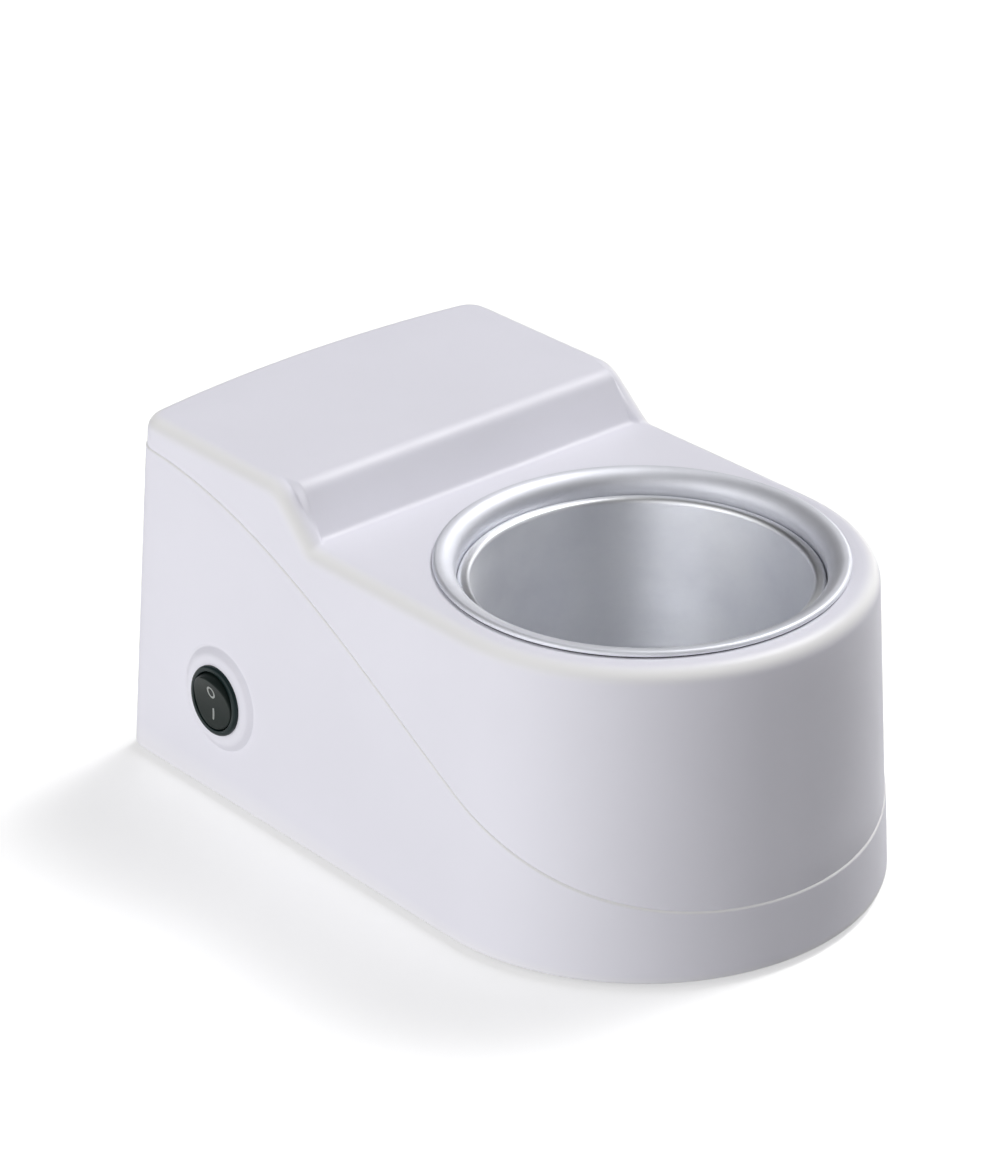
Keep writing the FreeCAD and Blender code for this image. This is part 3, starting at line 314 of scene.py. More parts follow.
def satin_moulding(name, value):
    """Satin moulded plastic: faint flow marks, a trace of ripple, rounded edges a little polished and also painted
    lighter as a painted highlight.
    """
    material, tree, surface = new_shader(name, Specular_IOR_Level=0.5, IOR=1.5)
    place = object_place(tree)
    edge = add(tree, "ShaderNodeAttribute", attribute_name="edge").outputs["Fac"]
    flow = noise(tree, place, 16.0, 3.0)
    tone = mixed(tree, spread(tree, flow, 0.0, 1.0), shade(value, 0.985), shade(value, 1.015))
    # Painted highlight: where the edge value is high, along the rounded edges and the seam, the white is painted
    # lighter.
    tone = mixed(tree, edge, tone, shade(value, 1.14))
    smear = spread(tree, noise(tree, place, 55.0, 6.0, 0.6), 0.41, 0.49)
    polish = spread(tree, edge, 0.0, -0.05, 0.0, 1.0)
    rough = add(tree, "ShaderNodeMath", {0: smear, 1: polish}, operation="ADD")
    ripple = relief(tree, noise(tree, place, 70.0, 1.0), 0.00012, 0.35)
    grain = relief(tree, noise(tree, place, 900.0), 0.00003, 0.25, ripple)
    join_up(tree, surface, Base_Color=tone, Roughness=rough.outputs["Value"], Normal=grain)
    return material


def matt_moulding(name, value, grain=2600.0, rough=(0.5, 0.62), depth=0.00012, level=0.4):
    """Matt moulded plastic with a spark-eroded grain."""
    material, tree, surface = new_shader(name, Specular_IOR_Level=level)
    place = object_place(tree)
    pits = relief(tree, noise(tree, place, grain, 3.0, 0.6), depth, 0.6)
    clouded(tree, surface, noise(tree, place, 60.0, 4.0), shade(value, 0.9), shade(value, 1.12), rough, pits)
    return material


def turned_metal(name, value, rough, groove, polish=None, stretch=0.0):
    """Spun aluminium: fine rings that draw highlights out along the profile, clouding, and an optional lip band."""
    material, tree, surface = new_shader(name, Metallic=1.0, Anisotropic=stretch)
    radius, height = drum_place(tree)
    across = add(tree, "ShaderNodeCombineXYZ", {"X": radius, "Z": height}).outputs["Vector"]
    rings = noise(tree, across, 2400.0, 4.0, 0.7)
    wide = noise(tree, across, 260.0)
    cloud = noise(tree, object_place(tree), 38.0, 5.0, 0.6)
    tone = mixed(tree, spread(tree, cloud, 0.0, 1.0), shade(value, 0.94), shade(value, 1.05))
    dull = spread(tree, wide, *rough)
    if polish:
        level, lip_rough = polish
        blur = 0.6 * MM
        share = spread(tree, height, 0.0, 1.0, level - blur, level + blur)
        dull = add(tree, "ShaderNodeMix", {0: share, 2: dull, 3: lip_rough}).outputs[0]
    normal = relief(tree, rings, groove, 0.5, relief(tree, wide, groove * 2.0, 0.4))
    join_up(tree, surface, Base_Color=tone, Roughness=dull, Normal=normal)
    if stretch:
        join_up(tree, surface, Tangent=profile_direction(tree))
    return material


def sheet_metal(name, value, rough=(0.25, 0.42), tint=None):
    """Plated or plain sheet metal with rolling lines, stains and an optional heat tint."""
    material, tree, surface = new_shader(name, Metallic=1.0)
    place = object_place(tree)
    stretched = add(tree, "ShaderNodeMapping", {"Vector": place, "Scale": (1.0, 0.06, 1.0)}).outputs["Vector"]
    lines = relief(tree, noise(tree, stretched, 1800.0, 4.0, 0.6), 0.00003, 0.4)
    stain = noise(tree, place, 90.0, 5.0, 0.6)
    clouded(tree, surface, stain, shade(tint or value, 0.88), shade(value, 1.08), rough, lines)
    return material


def soft_rubber(name, value):
    """Moulded rubber: dull, lightly powdered."""
    material, tree, surface = new_shader(name, Specular_IOR_Level=0.25)
    place = object_place(tree)
    pores = relief(tree, noise(tree, place, 3200.0, 3.0), 0.00006, 0.5)
    dust = noise(tree, place, 240.0, 6.0, 0.65)
    clouded(tree, surface, dust, shade(value, 0.8), shade(value, 1.6), (0.7, 0.9), pores)
    return material


def woven_fibre(name, value):
    """Glass fibre cloth: warp and weft."""
    material, tree, surface = new_shader(name, Specular_IOR_Level=0.2)
    place = object_place(tree)
    thread = {"Vector": place, "Scale": 170.0, "Distortion": 1.5, "Detail": 2.0}
    warp, weft = (add(tree, "ShaderNodeTexWave", thread, bands_direction=way).outputs["Fac"]
                  for way in ("Z", "DIAGONAL"))
    weave = add(tree, "ShaderNodeMath", {0: warp, 1: weft}, operation="MULTIPLY").outputs["Value"]
    tone = mixed(tree, weave, shade(value, 0.72), shade(value, 1.05))
    join_up(tree, surface, Base_Color=tone, Roughness=spread(tree, noise(tree, place, 300.0), 0.75, 0.95),
            Normal=relief(tree, weave, 0.0003, 0.8))
    return material


def wire_sleeve(name, value, stripe=None):
    """Wire insulation: smooth, faintly rubbed, with an optional stripe."""
    material, tree, surface = new_shader(name, Specular_IOR_Level=0.4)
    place = object_place(tree)
    rub = noise(tree, place, 420.0, 4.0)
    tone = clouded(tree, surface, rub, shade(value, 0.85), shade(value, 1.15), (0.35, 0.5),
                   relief(tree, rub, 0.00005, 0.3))
    if stripe:
        bands = add(tree, "ShaderNodeTexWave", {"Vector": place, "Scale": 60.0, "Distortion": 0.0},
                    bands_direction="DIAGONAL")
        share = spread(tree, bands.outputs["Fac"], 0.0, 1.0, 0.45, 0.55)
        join_up(tree, surface, Base_Color=mixed(tree, share, tone, shade(stripe, 1.0)))
    return material


def printed_mark(name, value):
    """Pad-printed mark, a little worn through."""
    material, tree, surface = new_shader(name, Specular_IOR_Level=0.3)
    worn = noise(tree, object_place(tree), 1500.0, 4.0, 0.6)
    clouded(tree, surface, worn, shade(value, 0.8), shade(value, 1.1), (0.5, 0.65), relief(tree, worn, 0.00002, 0.4))
    return material


# Geometry node trees

def node_tree(name, sockets):
    """Empty geometry tree with named inputs, as (name, socket type, default) rows."""
    tree = bpy.data.node_groups.new(name, "GeometryNodeTree")
    for label, kind, default in sockets:
        made = tree.interface.new_socket(label, in_out="INPUT", socket_type="NodeSocket" + kind)
        if default is not None:
            made.default_value = default
    tree.interface.new_socket("Geometry", in_out="OUTPUT", socket_type="NodeSocketGeometry")
    return tree, add(tree, "NodeGroupInput").outputs


def close_tree(tree, geometry, given):
    """Ends a tree with real faces that carry their material."""
    real = add(tree, "GeometryNodeRealizeInstances", {"Geometry": geometry})
    painted = add(tree, "GeometryNodeSetMaterial", {"Geometry": real.outputs["Geometry"],
                                                    "Material": given["Material"]})
    add(tree, "NodeGroupOutput", {"Geometry": painted.outputs["Geometry"]})
    return tree


def turning_tree():
    """Turns a flat profile round the upright axis. The profile lies at its radius less the path's radius."""
    tree, given = node_tree("Turned piece", [
        ("Profile", "Geometry", None), ("Segments", "Int", 64), ("Path Radius", "Float", 0.05),
        ("Merge", "Float", MERGE), ("Material", "Material", None)])
    profile = add(tree, "GeometryNodeMeshToCurve", {"Mesh": given["Profile"]})
    circle = add(tree, "GeometryNodeCurvePrimitiveCircle", {"Resolution": given["Segments"],
                                                            "Radius": given["Path Radius"]})
    level = add(tree, "GeometryNodeSetCurveNormal", {"Curve": circle.outputs["Curve"]}, mode="Z_UP")
    swept = add(tree, "GeometryNodeCurveToMesh", {"Curve": level.outputs["Curve"],
                                                  "Profile Curve": profile.outputs["Curve"]})
    closed = add(tree, "GeometryNodeMergeByDistance", {"Geometry": swept.outputs["Mesh"],
                                                       "Distance": given["Merge"]})
    return close_tree(tree, closed.outputs["Geometry"], given)


def setting_out_tree():
    """Sets a part out at each place, facing one way and each with its own turn."""
    tree, given = node_tree("Set out", [
        ("Places", "Geometry", None), ("Part", "Object", None), ("Facing", "Vector", None),
        ("Largest Turn", "Float", 0.0), ("Seed", "Int", 0), ("Material", "Material", None)])
    part = add(tree, "GeometryNodeObjectInfo", {"Object": given["Part"], "As Instance": True})
    set_out = add(tree, "GeometryNodeInstanceOnPoints", {
        "Points": given["Places"], "Instance": part.outputs["Geometry"], "Rotation": given["Facing"]})
    chance = add(tree, "FunctionNodeRandomValue", {"Max": given["Largest Turn"], "Seed": given["Seed"]})
    turn = add(tree, "ShaderNodeCombineXYZ", {"Z": chance.outputs["Value"]})
    turned = add(tree, "GeometryNodeRotateInstances", {
        "Instances": set_out.outputs["Instances"], "Rotation": turn.outputs["Vector"], "Local Space": True})
    return close_tree(tree, turned.outputs["Instances"], given)


def grown(name, mesh, tree, values):
    """Plain mesh that a tree makes from a mesh, with the tree's inputs set by their names."""
    holder = placed(name, mesh)
    modifier = holder.modifiers.new(tree.name, "NODES")
    modifier.node_group = tree
    for item in tree.interface.items_tree:
        if item.in_out == "INPUT" and item.name in values:
            modifier[item.identifier] = values[item.name]
    return settled(holder)


# Mesh helpers

def placed(name, data):
    """New object in the scene."""
    made = bpy.data.objects.new(name, data)
    bpy.context.scene.collection.objects.link(made)
    return made


def settled(holder):
    """Plain mesh of an object with its modifiers, which then goes."""
    bpy.context.view_layer.update()
    graph = bpy.context.evaluated_depsgraph_get()
    mesh = bpy.data.meshes.new_from_object(holder.evaluated_get(graph))
    mesh.name = holder.name
    bpy.data.objects.remove(holder)
    return mesh


def tidied(mesh, sharp=CREASE, outward=True):
    """Closes seams and poles, turns faces outward and shades all but the sharp edges smooth."""
    work = bmesh.new()
    work.from_mesh(mesh)
    bmesh.ops.remove_doubles(work, verts=work.verts, dist=MERGE)
    bmesh.ops.dissolve_degenerate(work, edges=work.edges, dist=MERGE / 10)
    if outward:
        bmesh.ops.recalc_face_normals(work, faces=work.faces)
    for face in work.faces:
        face.smooth = True
    work.to_mesh(mesh)
    work.free()
    mesh.set_sharp_from_angle(angle=math.radians(sharp))
    return mesh


def solid(name, points, faces, values=None):
    """Mesh from points and faces, with an optional edge value for each point."""
    mesh = bpy.data.meshes.new(name)
    mesh.from_pydata(points, [], faces)
    if values:
        mesh.attributes.new("edge", "FLOAT", "POINT").data.foreach_set("value", values)
    return tidied(mesh)


def gathered(name, meshes):
    """One mesh from several."""
    work = bmesh.new()
    for mesh in meshes:
        work.from_mesh(mesh)
    made = bpy.data.meshes.new(name)
    work.to_mesh(made)
    work.free()
    made.set_sharp_from_angle(angle=math.radians(CREASE))
    return made


def cut(mesh, *cutters):
    """Mesh less the cutters."""
    holder = placed(mesh.name, mesh)
    tools = [placed("cutter", cutter) for cutter in cutters]
    for tool in tools:
        modifier = holder.modifiers.new("cut", "BOOLEAN")
        modifier.operation = "DIFFERENCE"
        modifier.solver = "EXACT"
        modifier.object = tool
    made = settled(holder)
    for tool in tools:
        bpy.data.objects.remove(tool)
    return made


def block(low, high, taper=1.0):
    """Block between two corners, whose lower face may be smaller."""
    centre = [(a + b) / 2 for a, b in zip(low, high)]
    points = []
    for z, share in ((low[2], taper), (high[2], 1.0)):
        for x, y in ((low[0], low[1]), (high[0], low[1]), (high[0], high[1]), (low[0], high[1])):
            points.append((centre[0] + (x - centre[0]) * share, centre[1] + (y - centre[1]) * share, z))
    faces = [(0, 3, 2, 1), (4, 5, 6, 7), (0, 1, 5, 4), (1, 2, 6, 5), (2, 3, 7, 6), (3, 0, 4, 7)]
    return solid("block", points, faces)


def rounded(corners, steps, closed):
    """Flat path from (across, up, radius) rows in millimetres, with an arc at each rounded corner."""
    path = []
    count = len(corners)
    for k, (x, y, radius) in enumerate(corners):
        here = complex(x, y)
        if not radius or (not closed and k in (0, count - 1)):
            path.append(here)
            continue
        back = complex(*corners[k - 1][:2]) - here
        ahead = complex(*corners[(k + 1) % count][:2]) - here
        back /= abs(back)
        ahead /= abs(ahead)
        half = abs(cmath.phase(ahead / back)) / 2
        start = here + back * (radius / math.tan(half))
        end = here + ahead * (radius / math.tan(half))
        centre = here + (back + ahead) / abs(back + ahead) * (radius / math.sin(half))
        swing = cmath.phase((end - centre) / (start - centre))
        path += [centre + (start - centre) * cmath.rect(1.0, swing * n / steps) for n in range(steps + 1)]
    return [(p.real * MM, p.imag * MM) for p in path]


def turned(name, corners, material, steps, segments, closed=False, sharp=CREASE):
    """Turned mesh from a profile of (radius, height, rounding) rows in millimetres, with steps to each rounding."""
    path_radius = 0.05
    mesh = bpy.data.meshes.new(name)
    points = [(r - path_radius, -z, 0.0) for r, z in rounded(corners, steps, closed)]
    edges = [(k, k + 1) for k in range(len(points) - 1)]
    if closed:
        edges.append((len(points) - 1, 0))
    mesh.from_pydata(points, edges, [])
    tree = bpy.data.node_groups.get("Turned piece") or turning_tree()
    made = grown(name, mesh, tree, {"Segments": segments, "Path Radius": path_radius, "Material": material})
    return tidied(made, sharp)


def rod(name, radius, low, high, material, segments, low_ease=0, high_ease=0):
    """Turned rod in millimetres, whose ends may be eased."""
    corners = [(0, low, 0), (radius, low, low_ease), (radius, high, high_ease), (0, high, 0)]
    return turned(name, corners, material, 3, segments)


def set_out(name, places, part, material, facing=(0.0, 0.0, 0.0), largest_turn=0.0, seed=0):
    """Copies of a part at its places, as one mesh."""
    mesh = bpy.data.meshes.new(name)
    mesh.from_pydata(places, [], [])
    master = placed(name + "_part", part)
    tree = bpy.data.node_groups.get("Set out") or setting_out_tree()
    made = grown(name, mesh, tree, {"Part": master, "Facing": facing, "Largest Turn": largest_turn,
                                    "Seed": seed, "Material": material})
    bpy.data.objects.remove(master)
    return tidied(made)


def eased_copy(node, width):
    """Copy of a CAD node with its flat faces made whole and its edges eased."""
    flat, corner, crease = (math.radians(degrees) for degrees in (0.6, 40.0, 45.0))
    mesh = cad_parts[node].data.copy()
    work = bmesh.new()
    work.from_mesh(mesh)
    bmesh.ops.remove_doubles(work, verts=work.verts, dist=MERGE * 2)
    bmesh.ops.dissolve_limit(work, angle_limit=flat, verts=work.verts, edges=work.edges)
    for face in work.faces:
        face.smooth = True
    work.to_mesh(mesh)
    work.free()
    holder = placed(node + "_eased", mesh)
    bevel = holder.modifiers.new("eased", "BEVEL")
    bevel.width = width
    bevel.segments = 2
    bevel.limit_method = "ANGLE"
    bevel.angle_limit = corner
    bevel.use_clamp_overlap = True
    made = settled(holder)
    made.set_sharp_from_angle(angle=crease)
    return made


def piece(name, mesh, body, slot, material, *nodes):
    """Finished piece that rides on a body and stands for CAD nodes."""
    made = placed(name, mesh)
    mesh.materials.clear()
    mesh.materials.append(material)
    mesh.polygons.foreach_set("material_index", [0] * len(mesh.polygons))
    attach(made, body)
    if nodes:
        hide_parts(*nodes)


def material_named(name, maker, *values, **settings):
    """The finish of that name, made the first time it is asked for and apart from the CAD's plain colours."""
    name += "_finish"
    return bpy.data.materials.get(name) or maker(name, *values, **settings)


def warmer(context):
    """The scene's settings."""
    return context.scene.wax_warmer


# Body outline, in metres from the drum's axis and the skirt's lower edge

SEAM_PAST_NOSE, SEAM_FRONT_HEIGHT = 2.0 * MM, 20.0 * MM
SEAM_BEFORE_REAR, SEAM_UNDER_TOP = 10.0 * MM, 9.2 * MM
SEAM_FRONT_PULL, SEAM_REAR_PULL = complex(74.0, 6.5) * MM, 89.0 * MM
SEAM_POINTS = 2001
FRONT_STEPS, SIDE_STEPS, CORNER_STEPS, REAR_STEPS = 72, (24, 8, 84, 16), 12, 24
SIDE_START = 2.0 * MM
UPPER_EASE, LOWER_EASE = 0.1 * MM, 0.5 * MM
LIP_GAP, LIP_INSIDE, LIP_DEPTH, LIP_ROOT = 0.15 * MM, 1.45 * MM, 4.0 * MM, 3.0 * MM


def plan_point(s, station, z, inset):
    """Point of the outline's right half at a height, as across + up, from a (stretch, share) station."""
    w = s.base_radius - z * math.tan(s.side_draft) - inset
    stretch, share = station
    if stretch == "front":
        return cmath.rect(w, -math.pi / 2 + share * (math.pi / 2 + s.side_taper))
    rear = s.console_reach - z * math.tan(s.rear_draft) - inset
    bow = s.rear_bow - inset
    corner = s.rear_corner - inset
    outward = cmath.rect(1.0, s.side_taper)
    bow_centre = complex(0.0, rear - bow)
    inner = outward * (w - corner)
    local = (inner - bow_centre) / outward
    run = -local.imag + math.sqrt((bow - corner) ** 2 - local.real ** 2)
    centre = inner + outward * complex(0.0, run)
    if stretch == "side":
        start = outward * w
        return start + (centre + outward * corner - start) * share
    meet = cmath.phase(centre - bow_centre)
    if stretch == "corner":
        return centre + cmath.rect(corner, s.side_taper + share * (meet - s.side_taper))
    return bow_centre + cmath.rect(bow, meet + share * (math.pi / 2 - meet))


def top_height(s, y, drop, share=1.0):
    """Height of the deck, riser and console top, lowered evenly by the drop. The share is 1 at the riser's ends."""
    slope = s.riser_slope + (s.end_slope - s.riser_slope) * share
    half = math.tan(slope / 2)
    lean = math.cos(slope)
    deck = s.deck_height - drop
    console = s.console_height - drop
    foot_round = s.riser_foot_round + drop
    top_round = s.riser_top_round + (s.end_round - s.riser_top_round) * share - drop
    foot = s.riser_foot + (s.end_foot - s.riser_foot) * share + drop * half
    top = foot + (console - deck) / math.tan(slope)
    if y < foot - foot_round * half:
        return deck
    if y < foot + foot_round * half * lean:
        return deck + foot_round - math.sqrt(foot_round ** 2 - (y - foot + foot_round * half) ** 2)
    if y < top - top_round * half * lean:
        return deck + (y - foot) * math.tan(slope)
    if y < top + top_round * half:
        return console - top_round + math.sqrt(top_round ** 2 - (y - top - top_round * half) ** 2)
    return console


def seam_curve(s):
    """Height of the seam over the place along the body, and the cosine of its slope."""
    front = complex(-s.base_radius - SEAM_PAST_NOSE, SEAM_FRONT_HEIGHT)
    rear = complex(s.console_reach - SEAM_BEFORE_REAR, s.console_height - SEAM_UNDER_TOP)
    poles = [front, front + SEAM_FRONT_PULL, rear - SEAM_REAR_PULL, rear]
    t = numpy.linspace(0.0, 1.0, SEAM_POINTS)
    curve = sum(weight * pole for weight, pole in zip(
        ((1 - t) ** 3, 3 * t * (1 - t) ** 2, 3 * t ** 2 * (1 - t), t ** 3), poles))
    run = numpy.gradient(curve)
    lean = run.real / numpy.abs(run)

    def height(y):
        return float(numpy.interp(y, curve.real, curve.imag))

    def slope(y):
        return float(numpy.interp(y, curve.real, lean, left=1.0, right=1.0))

    return height, slope


def on_wall(s, station, inset, height):
    """Point of a wall whose height depends on its own place along the body."""
    z = s.deck_height
    for _ in range(5):
        p = plan_point(s, station, z, inset)
        z = height(p.imag)
    return (p.real, p.imag, z)


def edge_rows(s, radius, count):
    """Insets, drops and edge values over the rounded upper edge, from the top face to the drafted wall. The edge
    value, highest midway round, is where the white finish paints a highlight.
    """
    draft = s.side_draft
    rows = []
    for k in range(count + 1):
        turn = (math.pi / 2 - draft) * k / count
        inset = radius * (1 / math.cos(draft) - math.sin(turn) - math.cos(turn) * math.tan(draft))
        rows.append((inset, radius * (1 - math.cos(turn)), math.sin(2 * turn) ** 2))
    return rows


def stations(s):
    """Stations from the nose to the middle of the rear wall, close together where the top bends."""
    rim = s.seam_step + edge_rows(s, s.edge_round, 1)[0][0]
    reach = plan_point(s, ("front", 0.0), s.deck_height, rim).imag
    hole = (math.asin(s.deck_hole / reach) + math.pi / 2) / (math.pi / 2 + s.side_taper)
    found = [("front", share) for share in sorted({k / FRONT_STEPS for k in range(FRONT_STEPS)} | {hole})]
    top = s.end_foot + (s.console_height - s.deck_height) / math.tan(s.end_slope)
    end = plan_point(s, ("side", 1.0), s.console_height, rim).imag
    marks = [SIDE_START, s.deck_hole, s.end_foot - s.riser_foot_round,
             top + s.end_round * math.tan(s.end_slope / 2), end]
    for start, stop, count in zip(marks, marks[1:], SIDE_STEPS):
        for k in range(count):
            y = start + (stop - start) * k / count
            z = top_height(s, y, 0.0)
            low, high = (plan_point(s, ("side", share), z, rim).imag for share in (0.0, 1.0))
            found.append(("side", (y - low) / (high - low)))
    found += [("corner", k / CORNER_STEPS) for k in range(CORNER_STEPS)]
    found += [("rear", k / REAR_STEPS) for k in range(REAR_STEPS + 1)]
    return found


def mirrored_sheet(columns, closed):
    """Points, edge values and faces of both halves of a wall, from columns of (point, edge value) rows."""
    points, values, faces = [], [], []
    count = len(columns[0])
    for side in (1.0, -1.0):
        first = len(points)
        for column in columns:
            for (x, y, z), value in column:
                points.append((side * x, y, z))
                values.append(value)
        for j in range(len(columns) - 1):
            for k in range(count if closed else count - 1):
                a, b = first + j * count, first + (j + 1) * count
                quad = (a + k, a + (k + 1) % count, b + (k + 1) % count, b + k)
                faces.append(quad if side > 0 else quad[::-1])
    return points, values, faces


def upper_column(s, station, seam, slope):
    """Section of the upper shell: over the edge, down to the seam, round the hidden lip and up inside."""
    step, wall = s.seam_step, s.seam_step + s.upper_wall
    lip_out, lip_in = s.lower_wall + LIP_GAP, s.lower_wall + LIP_INSIDE
    outer_rows = edge_rows(s, s.edge_round, 10)
    inner_rows = edge_rows(s, s.edge_round - s.upper_wall, 5)
    last, inner_last = outer_rows[-1][1], inner_rows[-1][1]
    rows = []

    def row(inset, height, value=0.0):
        rows.append((on_wall(s, station, inset, height), value))

    def low_edge(y):
        return seam(y) + s.seam_gap + UPPER_EASE / slope(y)

    def root(y):
        return seam(y) + LIP_ROOT

    for inset, drop, value in outer_rows:
        row(step + inset, lambda y: top_height(s, y, drop), value)
    for k in range(1, 9):
        row(step, lambda y: top_height(s, y, last) + (low_edge(y) - top_height(s, y, last)) * k / 8)
    # Edge value 0.5 on the eased lower edge: a painted highlight along the seam.
    for k in range(1, 4):
        turn = math.pi / 6 * k
        row(step + UPPER_EASE * (1 - math.cos(turn)),
            lambda y: seam(y) + s.seam_gap + UPPER_EASE * (1 - math.sin(turn)) / slope(y), 0.5)
    row(lip_out, lambda y: seam(y) + s.seam_gap)
    row(lip_out, lambda y: seam(y) - LIP_DEPTH)
    row(lip_in, lambda y: seam(y) - LIP_DEPTH)
    row(lip_in, root)
    row(wall, root)
    for k in range(1, 5):
        row(wall, lambda y: root(y) + (top_height(s, y, s.upper_wall + inner_last) - root(y)) * k / 4)
    for inset, drop, _ in inner_rows[-2::-1]:
        row(wall + inset, lambda y: top_height(s, y, s.upper_wall + drop))
    return rows


def upper_shell(s):
    """Upper shell: walls by columns, and the top by rows straight across it."""
    seam, slope = seam_curve(s)
    columns = [upper_column(s, station, seam, slope) for station in stations(s)]
    points, values, faces = mirrored_sheet(columns, False)
    eased, across = 10, 16
    rows = []
    for column in columns:
        y = column[0][0][1]
        inside = abs(y) < s.deck_hole - MERGE
        mouth = math.sqrt(s.deck_hole ** 2 - y ** 2) if inside else 0.0
        rows.append((column[0][0], column[-1][0], mouth))
    for side in (1.0, -1.0):
        sheets = []
        for layer, drop in enumerate((0.0, s.upper_wall)):
            first = len(points)
            for row in rows:
                x, y, z = row[layer]
                end = max(x - s.end_width, (x + row[2]) / 2)
                for k in range(across + 1):
                    share = 1 - min(1.0, k / eased)
                    place = x + (end - x) * (1 - share) + (row[2] - end) * max(0, k - eased) / (across - eased)
                    height = top_height(s, y, drop, share * share * (3 - 2 * share))
                    points.append((side * place, y, height if k else z))
                    values.append(0.0)
            for j in range(len(rows) - 1):
                for k in range(across):
                    a, b = first + j * (across + 1) + k, first + (j + 1) * (across + 1) + k
                    faces.append((a, b, b + 1, a + 1) if (side > 0) == (layer == 0) else (a, a + 1, b + 1, b))
            sheets.append(first)
        for j in range(len(rows) - 1):
            if rows[j][2] or rows[j + 1][2]:
                a, b = (first + j * (across + 1) + across for first in sheets)
                faces.append((a, a + across + 1, b + across + 1, b))
    return solid("upper_shell", points, faces, values)


def lower_shell(s):
    """Lower shell: skirt, cheeks and rear wall, with a rounded upper edge that stands a little proud."""
    seam, slope = seam_curve(s)
    columns = []
    for station in stations(s):
        rows = []

        def row(inset, height, value=0.0):
            rows.append((on_wall(s, station, inset, height), value))

        # Edge value 0.4 on the eased lower edge of the skirt: a painted highlight there.
        for k in range(4):
            turn = math.pi / 6 * k
            row(LOWER_EASE * (1 - math.sin(turn)), lambda y: LOWER_EASE * (1 - math.cos(turn)), 0.4)
        for k in range(1, 13):
            row(0.0, lambda y: LOWER_EASE + (seam(y) - s.seam_round / slope(y) - LOWER_EASE) * k / 12)
        # Edge values over the seam's rounding: a painted highlight line along the seam, standing in for the light
        # its proud edge catches.
        for k in range(1, 7):
            turn = math.pi / 12 * k
            row(s.seam_round * (1 - math.cos(turn)),
                lambda y: seam(y) - s.seam_round * (1 - math.sin(turn)) / slope(y), math.sin(2 * turn) ** 2)
        row(s.lower_wall, seam)
        for k in range(1, 5):
            row(s.lower_wall, lambda y: seam(y) * (1 - k / 4))
        columns.append(rows)
    points, values, faces = mirrored_sheet(columns, True)
    return solid("lower_shell", points, faces, values)


# Switch axes: right, up the cheek, outward

def switch_axes(s, h):
    """Frame of the switch on the left cheek."""
    c, n = math.cos(h.side_draft), math.sin(h.side_draft)
    half = h.base_radius - s.height * math.tan(h.side_draft)
    x = (s.from_axis * math.sin(h.side_taper) - half) / math.cos(h.side_taper)
    return DRUM @ Matrix(((0.0, n, -c, x), (-1.0, 0.0, 0.0, s.from_axis), (0.0, c, n, s.height),
                          (0.0, 0.0, 0.0, 1.0)))


def to_pivot(s):
    """From the cheek's face out to the rocker's pivot."""
    return Matrix.Translation((0.0, 0.0, s.pad_rise - s.pivot_drop))


def rocker_axes(s, h):
    """Frame of the rocker: the switch's own, raised to the pivot and tilted."""
    return switch_axes(s, h) @ to_pivot(s) @ Matrix.Rotation(s.rocker_tilt, 4, "X")


def rocker_face(s, y):
    """Height of the hollow face over the pivot."""
    return s.face_rise + s.face_hollow - math.sqrt(s.face_hollow ** 2 - y ** 2)


def rocker_mesh(s):
    """Rocker paddle: hollow face, eased rim, round sides and flat underside."""
    around, ease, depth = 144, 0.4 * MM, 4.0 * MM
    face_steps, rim_steps, side_steps = 10, 5, 8
    radius = s.rocker_radius
    foot = -math.asin(depth / radius)
    points = []
    for j in range(around):
        turn = 2 * math.pi * j / around
        c, n = math.cos(turn), math.sin(turn)
        rim = radius
        for _ in range(30):
            rim = math.sqrt(radius ** 2 - rocker_face(s, rim * n) ** 2)
        flat = rim - ease
        path = [(flat * k / face_steps, rocker_face(s, flat * k / face_steps * n)) for k in range(face_steps + 1)]
        start, corner = path[-1], (rim, rocker_face(s, rim * n))
        below = math.asin(corner[1] / radius) - ease / radius
        end = (radius * math.cos(below), radius * math.sin(below))
        for k in range(1, rim_steps):
            t = k / rim_steps
            path.append(tuple((1 - t) ** 2 * a + 2 * t * (1 - t) * b + t ** 2 * e
                              for a, b, e in zip(start, corner, end)))
        for k in range(side_steps + 1):
            side = below + (foot - below) * k / side_steps
            path.append((radius * math.cos(side), radius * math.sin(side)))
        path.append((0.0, -depth))
        points += [(r * c, r * n, z) for r, z in path]
    rows = len(points) // around
    faces = []
    for j in range(around):
        a, b = j * rows, (j + 1) % around * rows
        faces += [(a + k, a + k + 1, b + k + 1, b + k) for k in range(rows - 1)]
    return solid("switch_paddle", points, faces)


def mark_mesh(name, s, outer, inner, y):
    """Thin printed ring or bar on the rocker's face, from (half width, half height, bend) rows in millimetres."""
    count, shift, sunk, proud = 64, 0.4 * MM, -0.05 * MM, 0.02 * MM
    points = []
    for (half_width, half_height, bend), lift in ((outer, sunk), (outer, proud), (inner, proud), (inner, sunk)):
        for k in range(count):
            turn = 2 * math.pi * k / count
            px = math.copysign(abs(math.cos(turn)) ** bend, math.cos(turn)) * half_width * MM
            py = math.copysign(abs(math.sin(turn)) ** bend, math.sin(turn)) * half_height * MM + y
            points.append((shift + px, py, rocker_face(s, py) + lift))
    faces = []
    for layer in range(4):
        a, b = layer * count, (layer + 1) % 4 * count
        faces += [(a + k, a + (k + 1) % count, b + (k + 1) % count, b + k) for k in range(count)]
    return solid(name, points, faces)


